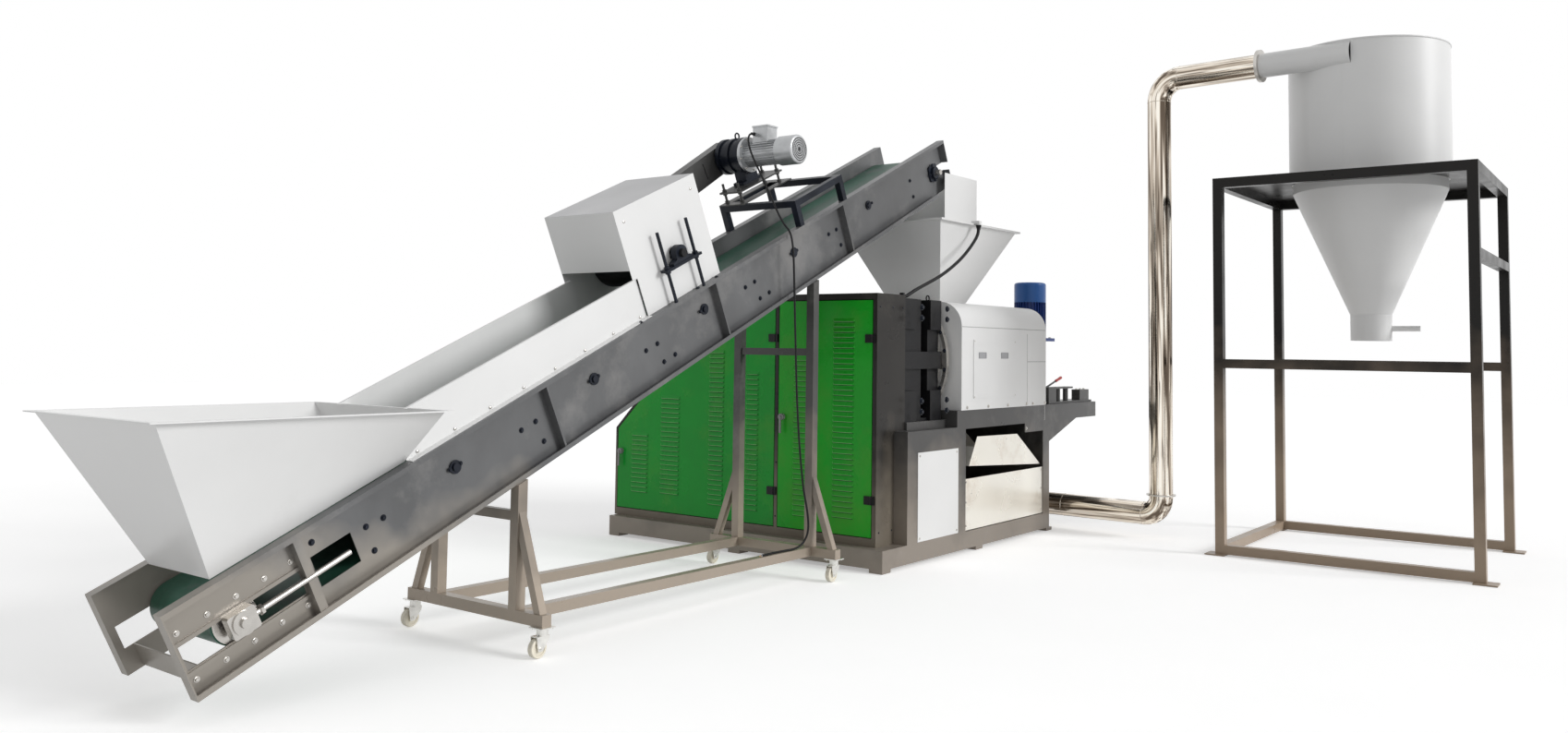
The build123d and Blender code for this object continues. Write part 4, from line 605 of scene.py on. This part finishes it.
def conveyor_bolts():
    step = HEAD_BOLT_STEP
    for side, _ in SIDES:
        for s in IDLERS:
            for shift in (-IDLER_BOLT_STEP, IDLER_BOLT_STEP):
                add("idler_bolts", hex_bolt(7), on_web(s + shift, IDLER_DEPTH, side, IDLER_FLANGE_T))
            if s < LAST_JOINT:
                for along, depth in JOINT_BOLTS:
                    add("web_bolts", hex_bolt(9), on_web(s + along, depth, side))
        for s, depth in END_BOLTS:
            add("web_bolts", hex_bolt(9), on_web(s, depth, side))
        for along, below in ((-step, 0), (step, 0), (0, -step), (0, step)):
            add("web_bolts", hex_bolt(9), on_web(HEAD_S + along, HEAD_DEPTH + below, side, HEAD_FLANGE_T))
        for s in RAIL_BOLTS:
            for depth in RAIL_DEPTHS:
                add("rail_bolts", hex_bolt(8), on_web(s, depth, side))
    finish("idler_bolts", M["dark_iron"])
    finish("web_bolts", M["dark_iron"])
    finish("rail_bolts", M["bright_steel"])


# Skirt boards and drum cover: fixing screws, and bolts on the top flanges
SKIRT_START, SKIRT_PITCH, SKIRT_SCREWS = 1330, 235, 8
SKIRT_SCREW_H = 16
SKIRT_IN = -3
FLANGE_BOLTS = (2933, 3259, 3471, 3660)
FLANGE_MIDDLE = 312
COVER_SCREWS = (3052, 3670)
COVER_HALF = 286.2
COVER_SCREW_H = 575


def skirt_and_cover_screws():
    for side, normal in SIDES:
        for i in range(SKIRT_SCREWS):
            s = SKIRT_START + SKIRT_PITCH * i
            add("skirt_screws", screw(8), on_web(s, -SKIRT_SCREW_H, side, SKIRT_IN))
        for s in FLANGE_BOLTS:
            add("flange_bolts", hex_bolt(8), place(incline(s, side * FLANGE_MIDDLE, 0.2), ABOVE, ALONG))
        for s in COVER_SCREWS:
            spot = incline(s, side * COVER_HALF, COVER_SCREW_H)
            add("cover_screws", screw(9), place(spot, normal, ALONG))
    finish("skirt_screws", M["bright_steel"])
    finish("flange_bolts", M["dark_iron"])
    finish("cover_screws", M["bright_steel"])


# Threads on the studs of the press drum's bearings
PRESS_S = 3375
STUD_STEP = 135
STUD_ACROSS = 331
STUD_FOOT = 305
THREAD_R, THREAD_ROOT, THREAD_STEP, THREAD_RINGS = 10.9, 9.6, 8.0, 17


def stud_threads():
    grooves = [(THREAD_R if i % 2 else THREAD_ROOT, THREAD_STEP * i) for i in range(THREAD_RINGS)]
    for side, _ in SIDES:
        for step in (-STUD_STEP, STUD_STEP):
            foot = incline(PRESS_S + step, side * STUD_ACROSS, STUD_FOOT)
            add("stud_threads", [turned(grooves, 12)], place(foot, ABOVE, ALONG))
    finish("stud_threads", M["dark_iron"])


# Belt drive: fan grille and slots in the chain guard, drawn as painted shade in their openings, box screws
# and bolts of the gearbox
MOTOR_AXIS = incline(4914.7, 0, 465.8)
PRESS_AXIS = incline(PRESS_S, 0, 265)
COWL_FACE_Y = 409
BOX_SCREW_X, BOX_SCREW_Y, BOX_SCREW_UP = 45, (660, 770), 190
MOTOR_FLANGE_Y, MOTOR_FLANGE_RING = 844.0, 112
GEAR_FACE_Y, GEAR_RING = 870.2, 116
SLOT_SHARES = (0.16, 0.33, 0.5, 0.67, 0.84)
GUARD_FACES = ((1164.1, FAR), (1083.9, NEAR))
SLOT = (9, 120, 0.8)


def fan_grille(name, centre, normal, along, rings, r):
    """Rings of small dark discs in a fan cowl, and one at its middle, painted as the shade inside its round
    openings.
    """
    cowl = place(centre, normal, along)
    hole = [turned([(0.33 * r / rings, -0.4), (0.30 * r / rings, 0.35)], 8)]
    for i in range(1, rings + 1):
        for x, y in ring(8 * i, r * i / (rings + 0.6)):
            add(name, hole, cowl @ Matrix.Translation((x, y, 0)))
    add(name, [turned([(0.12 * r, -0.4), (0.11 * r, 0.4)], 16)], cowl)


def belt_drive_details():
    x, z = MOTOR_AXIS.x, MOTOR_AXIS.z
    fan_grille("fan_grille", (x, COWL_FACE_Y, z), NEAR, UP, 5, 88)
    finish("fan_grille", opening_shade_black)
    for step in (-BOX_SCREW_X, BOX_SCREW_X):
        for y in BOX_SCREW_Y:
            add("box_screws", screw(5), place((x + step, y, z + BOX_SCREW_UP), UP, FAR))
    for along, rise in ring(8, MOTOR_FLANGE_RING, 22.5):
        add("box_screws", hex_bolt(6, 1.4), place((x + along, MOTOR_FLANGE_Y, z + rise), NEAR, UP))
    finish("box_screws", M["bright_steel"])
    for along, rise in ring(6, GEAR_RING, 15):
        add("gear_bolts", hex_bolt(6, 1.4), place((x + along, GEAR_FACE_Y, z + rise), NEAR, UP))
    finish("gear_bolts", M["dark_iron"])
    reach = Vector((x - PRESS_AXIS.x, 0, z - PRESS_AXIS.z))
    for share in SLOT_SHARES:
        for y, normal in GUARD_FACES:
            middle = Vector((PRESS_AXIS.x, y, PRESS_AXIS.z)) + share * reach
            add("guard_slots", strip(*SLOT, 0.3), place(middle, normal, reach))
    finish("guard_slots", opening_shade_black)


# Castors: axle nuts and plate bolts on each
CASTORS = {
    "rear_near": (-400, 129),
    "rear_far": (-400, 1169),
    "front_near": (-2955, 129),
    "front_far": (-2955, 1169),
}
WHEEL_R = 50.0
WHEEL_TRAIL = 32
AXLE_REACH = 26.2
PLATE_BOLT_STEP = 36
PLATE_UNDERSIDE = 144.0


def castor_nuts():
    corners = (-PLATE_BOLT_STEP, PLATE_BOLT_STEP)
    for corner, (x, y) in CASTORS.items():
        for side, normal in SIDES:
            hub = (x - WHEEL_TRAIL, y + side * AXLE_REACH, WHEEL_R)
            add("axle_nuts_" + corner, stud_nut(6, 0.5), place(hub, normal, UP))
        for step_x in corners:
            for step_y in corners:
                spot = (x + step_x, y + step_y, PLATE_UNDERSIDE)
                add("plate_bolts", stud_nut(4, 0.4), place(spot, DOWN, RIGHT))
        finish("axle_nuts_" + corner, M["zinc"], body="fork_" + corner)
    finish("plate_bolts", M["zinc"])


# Cabinet: screws down the bar between its doors and on its near side
DOOR_BAR = (87.9, 1005.5)
DOOR_BAR_SCREWS = (300, 700, 1100, 1500, 1850)
SIDE_FACE_Y = 113.9
SIDE_SCREW_X, SIDE_SCREW_Z = (130, 300, 440), (260, 1860)


def cabinet_screws():
    for z in DOOR_BAR_SCREWS:
        add("cabinet_screws", screw(7), place((*DOOR_BAR, z), LEFT, UP))
    for x in SIDE_SCREW_X:
        for z in SIDE_SCREW_Z:
            add("cabinet_screws", screw(7), place((x, SIDE_FACE_Y, z), NEAR, UP))
    finish("cabinet_screws", M["dark_iron"])


# Doors: a painted highlight along the lower edge and the far end of each louvre, and a painted shadow strip
# below it, in banks of (y span, z span)
LOUVRES = {
    "right_door": (((303, 489), (345, 1782)), ((717, 844), (324, 1500))),
    "left_door": (
        ((1174, 1298), (324, 1392)),
        ((1517, 1672), (331, 1543)),
        ((1977, 2182), (375, 1154)),
        ((2319, 2506), (365, 847)),
    ),
}
LOUVRE_H, LOUVRE_PITCH, LOUVRE_OUT = 26, 38, 9
DOOR_FACE = 87
END_OUT, END_IN, END_UP = 4.6, 3.0, 9
END_FACING = Vector((-0.7, 0.7, 0))
EDGE_UP, SHADOW_BELOW = 1.6, 3.0


def louvre(door, y0, y1, z):
    """Painted highlights on the lower edge and the far end of one louvre, and a painted shadow strip below
    it.
    """
    width, middle = y1 - y0, (y0 + y1) / 2
    nose = place((DOOR_FACE - LOUVRE_OUT - 0.2, middle, z + EDGE_UP), LEFT, NEAR)
    add(door + "_louvre_highlights", [block((width - 20, 3.4, 0.8), 0.3, 0.3)], nose)
    end = place((DOOR_FACE - END_OUT, y1 - END_IN, z + END_UP), END_FACING, UP)
    add(door + "_louvre_highlights", [block((13, 4.5, 0.9), 0.3, 0.3)], end)
    shadow_spot = place((DOOR_FACE - 0.1, middle, z - SHADOW_BELOW), LEFT, NEAR)
    add(door + "_louvre_shadows", [block((width - 6, 5.0, 0.5), 0.2, 0.2)], shadow_spot)


def door_louvres():
    for door, banks in LOUVRES.items():
        for (y0, y1), (z0, z1) in banks:
            for i in range(round((z1 - z0 - LOUVRE_H) / LOUVRE_PITCH) + 1):
                louvre(door, y0, y1, z0 + i * LOUVRE_PITCH)
        finish(door + "_louvre_highlights", louvre_highlight_green, body=door)
        finish(door + "_louvre_shadows", louvre_shadow_green, body=door)


# Gear housing: bolts on its bosses and round the flange, where the housing leaves it clear
BOSS_BOLT_X, BOSS_BOLT_Z = (560, 935), (1100, 1180, 1790, 1870)
BOSS_FACE_Y = 28
FLANGE_FACE_X = 1019.8
FLANGE_MID_Y, FLANGE_MID_Z, FLANGE_RING = 649, 1478, 558
FLANGE_CLEAR = (1110, 1915)


def housing_bolts():
    for x in BOSS_BOLT_X:
        for z in BOSS_BOLT_Z:
            add("housing_bolts", hex_bolt(14), place((x, BOSS_FACE_Y, z), NEAR, UP))
    for across, rise in ring(24, FLANGE_RING, 7.5):
        z = FLANGE_MID_Z + rise
        if FLANGE_CLEAR[0] < z < FLANGE_CLEAR[1]:
            add("ring_bolts", hex_bolt(9), place((FLANGE_FACE_X, FLANGE_MID_Y + across, z), LEFT, UP))
    finish("housing_bolts", M["dark_iron"])
    finish("ring_bolts", M["dark_iron"])


# Hood: its seams, the bolts along its foot and the screws of its hatch
HOOD_FACE_Y = -0.2
HATCH_FACE_Y = -6.3
HOOD_SEAMS = ((1505, (1880, 1740), RIGHT), (600, (2274, 1401), UP), (366, (2457, 1467), RIGHT))
HOOD_FOOT_X, HOOD_FOOT_Z = (1210, 1563, 1910, 2259, 2382, 2622), 1112
HATCH_SCREW_X, HATCH_SCREW_Z = (1322, 2028), (1192, 1631)


def hood_details():
    for length, (x, z), along in HOOD_SEAMS:
        add("hood_seams", strip(length, 5, 1.4, 0.5), place((x, HOOD_FACE_Y, z), NEAR, along))
    finish("hood_seams", seam_grey)
    for x in HOOD_FOOT_X:
        add("hood_screws", hex_bolt(8), place((x, HOOD_FACE_Y, HOOD_FOOT_Z), NEAR, UP))
    for x in HATCH_SCREW_X:
        for z in HATCH_SCREW_Z:
            add("hood_screws", screw(7), place((x, HATCH_FACE_Y, z), NEAR, UP))
    finish("hood_screws", M["bright_steel"])


# Pedestal: screws of its panel and drain sheet, a bolt over the notch and the table's seam
PANEL_SCREW_X, PANEL_SCREW_Z, PANEL_FACE_Y = (495, 1045), (190, 783), -3.3
SHEET_SCREW_X, SHEET_SCREW_Z, SHEET_FACE_Y = (1215, 2560), (200, 380, 535), 8.2
NOTCH_BOLT = (2250, -0.1, 905)
TABLE_SEAM = (2618, -0.1, 1023)


def pedestal_details():
    for x in PANEL_SCREW_X:
        for z in PANEL_SCREW_Z:
            add("panel_screws", screw(9), place((x, PANEL_FACE_Y, z), NEAR, UP))
    for x in SHEET_SCREW_X:
        for z in SHEET_SCREW_Z:
            add("panel_screws", screw(9), place((x, SHEET_FACE_Y, z), NEAR, UP))
    add("panel_screws", hex_bolt(9), place(NOTCH_BOLT, NEAR, UP))
    finish("panel_screws", M["bright_steel"])
    add("table_seam", strip(126, 5, 1.2, 0.4), place(TABLE_SEAM, NEAR, UP))
    finish("table_seam", M["white_paint"])


# Pipe: weld rings at its elbows
TO_RISER, TO_SILO = (-0.06, -1, 0), (-0.073, -1, 0)
WELDS = (
    ((2933, -50, 205), TO_RISER),
    ((2888, -788, 205), TO_RISER),
    ((2880, -930, 3688), UP),
    ((2866, -1122, 3880), TO_SILO),
)
WELD_RING = [(97.2, -3), (98.6, -1), (98.6, 1), (97.2, 3)]


def pipe_welds():
    for point, normal in WELDS:
        add("pipe_welds", [turned(WELD_RING, 40)], place(point, normal, RIGHT))
    finish("pipe_welds", M["polished_steel"])


# Silo: its weld seam, the two lugs that steady it on the deck and the bolts of its ring
SILO_X, SILO_Y, SILO_R = 3306, -2475, 587.0
SEAM_DEGREES, SEAM_MIDDLE_Z = 173.3, 3420
LUG_X, LUG_Y, LUG_FOOT_Z = 2700, (-2420, -2505), 2935.2
LUG_BOLT_X, LUG_BOLT_Z = 2685, 2941
RING_R, RING_TOP_Z = 600, 2942.9


def silo_details():
    seam = math.radians(SEAM_DEGREES)
    outward = Vector((math.cos(seam), math.sin(seam), 0))
    middle = Vector((SILO_X, SILO_Y, SEAM_MIDDLE_Z)) + SILO_R * outward
    add("silo_seam", [block((1050, 5, 1.6), 0.6, 0.6)], place(middle, outward, UP))
    finish("silo_seam", M["white_paint"])
    foot, upright = block((46, 30, 6), 1.2), block((6, 30, 52), 1.2)
    for y in LUG_Y:
        add("silo_lugs", [foot, upright], place((LUG_X, y, LUG_FOOT_Z), UP, RIGHT))
        add("silo_lugs", hex_bolt(7), place((LUG_BOLT_X, y, LUG_BOLT_Z), UP, RIGHT))
    finish("silo_lugs", M["white_paint"])
    for x, y in ring(16, RING_R, 5):
        add("silo_bolts", hex_bolt(8), place((SILO_X + x, SILO_Y + y, RING_TOP_Z), UP, RIGHT))
    finish("silo_bolts", M["zinc"])


# Cutter: grille on its motor, drawn as painted shade in its openings, bolts of its flange and its slide, and
# the lever's red grip
CUTTER_X, CUTTER_Y = 3505, 560
COWL_TOP_Z, CUTTER_FLANGE_Z = 2215, 1685
CUTTER_BOLT_STEP = 140
SLIDE_BOLT_X, SLIDE_BOLT_Y, SLIDE_BOLT_Z = (3510, 3590, 3670), 90, 1206
LEVER_TIP, LEVER_ROOT = Vector((3150, 90, 1318)), Vector((2814, 90, 1228))
GRIP_BACK = 112
GRIP = [(9.5, 0), (12, 4), (12.5, 30), (11.5, 55), (13, 90), (13.5, 118), (11, 126), (5, 130)]


def cutter_details():
    fan_grille("cutter_grille", (CUTTER_X, CUTTER_Y, COWL_TOP_Z), UP, RIGHT, 5, 105)
    finish("cutter_grille", opening_shade_black)
    corners = (-CUTTER_BOLT_STEP, CUTTER_BOLT_STEP)
    for x in corners:
        for y in corners:
            spot = (CUTTER_X + x, CUTTER_Y + y, CUTTER_FLANGE_Z)
            add("cutter_bolts", hex_bolt(10), place(spot, UP, RIGHT))
    for x in SLIDE_BOLT_X:
        add("cutter_bolts", hex_bolt(9), place((x, SLIDE_BOLT_Y, SLIDE_BOLT_Z), UP, RIGHT))
    finish("cutter_bolts", M["bright_steel"])
    lever = (LEVER_TIP - LEVER_ROOT).normalized()
    add("lever_grip", [turned(GRIP, 20)], place(LEVER_TIP - GRIP_BACK * lever, lever, UP))
    finish("lever_grip", red_grip)


conveyor_bolts()
skirt_and_cover_screws()
stud_threads()
belt_drive_details()
castor_nuts()
cabinet_screws()
door_louvres()
housing_bolts()
hood_details()
pedestal_details()
pipe_welds()
silo_details()
cutter_details()

# Floor and backdrop, white where the camera or a mirror looks at them
FLOOR_HALF = 40
FLOOR_DROP = 0.002
FLOOR_GLOW = 0.36
WORLD_LIGHT = 0.5


def seen_directly(tree):
    """One where a ray from the camera, a mirror or glass arrives, else zero."""
    path = tree.nodes.new("ShaderNodeLightPath")
    total = path.outputs["Is Camera Ray"]
    for name in ("Is Glossy Ray", "Is Transmission Ray"):
        node = tree.nodes.new("ShaderNodeMath")
        node.operation = "MAXIMUM"
        tree.links.new(total, node.inputs[0])
        tree.links.new(path.outputs[name], node.inputs[1])
        total = node.outputs["Value"]
    return total


def floor_material():
    n = Nodes("floor")
    shader = n.shader.inputs
    shader["Roughness"].default_value = 0.9
    shader["Specular IOR Level"].default_value = 0.1
    tone = n.mix(n.span(n.noise(1.5), NOISE_LOW, NOISE_HIGH), (0.89, 0.89, 0.89), (0.91, 0.91, 0.91))
    n.join(tone, shader["Base Color"])
    shader["Emission Color"].default_value = (1, 1, 1, 1)
    n.join(n.span(seen_directly(n.tree), 0, 1, 0, FLOOR_GLOW), shader["Emission Strength"])
    return n.material


def add_floor():
    mesh = bpy.data.meshes.new("floor")
    bm = bmesh.new()
    bmesh.ops.create_grid(bm, x_segments=2, y_segments=2, size=FLOOR_HALF)
    bm.to_mesh(mesh)
    bm.free()
    mesh.materials.append(floor_material())
    floor = bpy.data.objects.new("floor", mesh)
    floor.location = (0, 0, -FLOOR_DROP)
    scene.collection.objects.link(floor)


def add_world():
    studio = bpy.data.worlds.new("studio")
    scene.world = studio
    studio.use_nodes = True
    tree = studio.node_tree
    background = tree.nodes["Background"]
    background.inputs["Color"].default_value = (1, 1, 1, 1)
    strength = tree.nodes.new("ShaderNodeMapRange")
    strength.inputs["To Min"].default_value = WORLD_LIGHT
    strength.inputs["To Max"].default_value = 1.0
    tree.links.new(seen_directly(tree), strength.inputs["Value"])
    tree.links.new(strength.outputs["Result"], background.inputs["Strength"])


def sun(name, direction, energy, angle):
    """A soft parallel lamp shining along a direction."""
    data = bpy.data.lights.new(name, "SUN")
    data.energy = energy
    data.angle = math.radians(angle)
    lamp = bpy.data.objects.new(name, data)
    lamp.rotation_euler = Vector(direction).to_track_quat("-Z", "Y").to_euler()
    scene.collection.objects.link(lamp)


add_floor()
add_world()
sun("key", (-0.3, 1.0, -0.45), 1.8, 20)
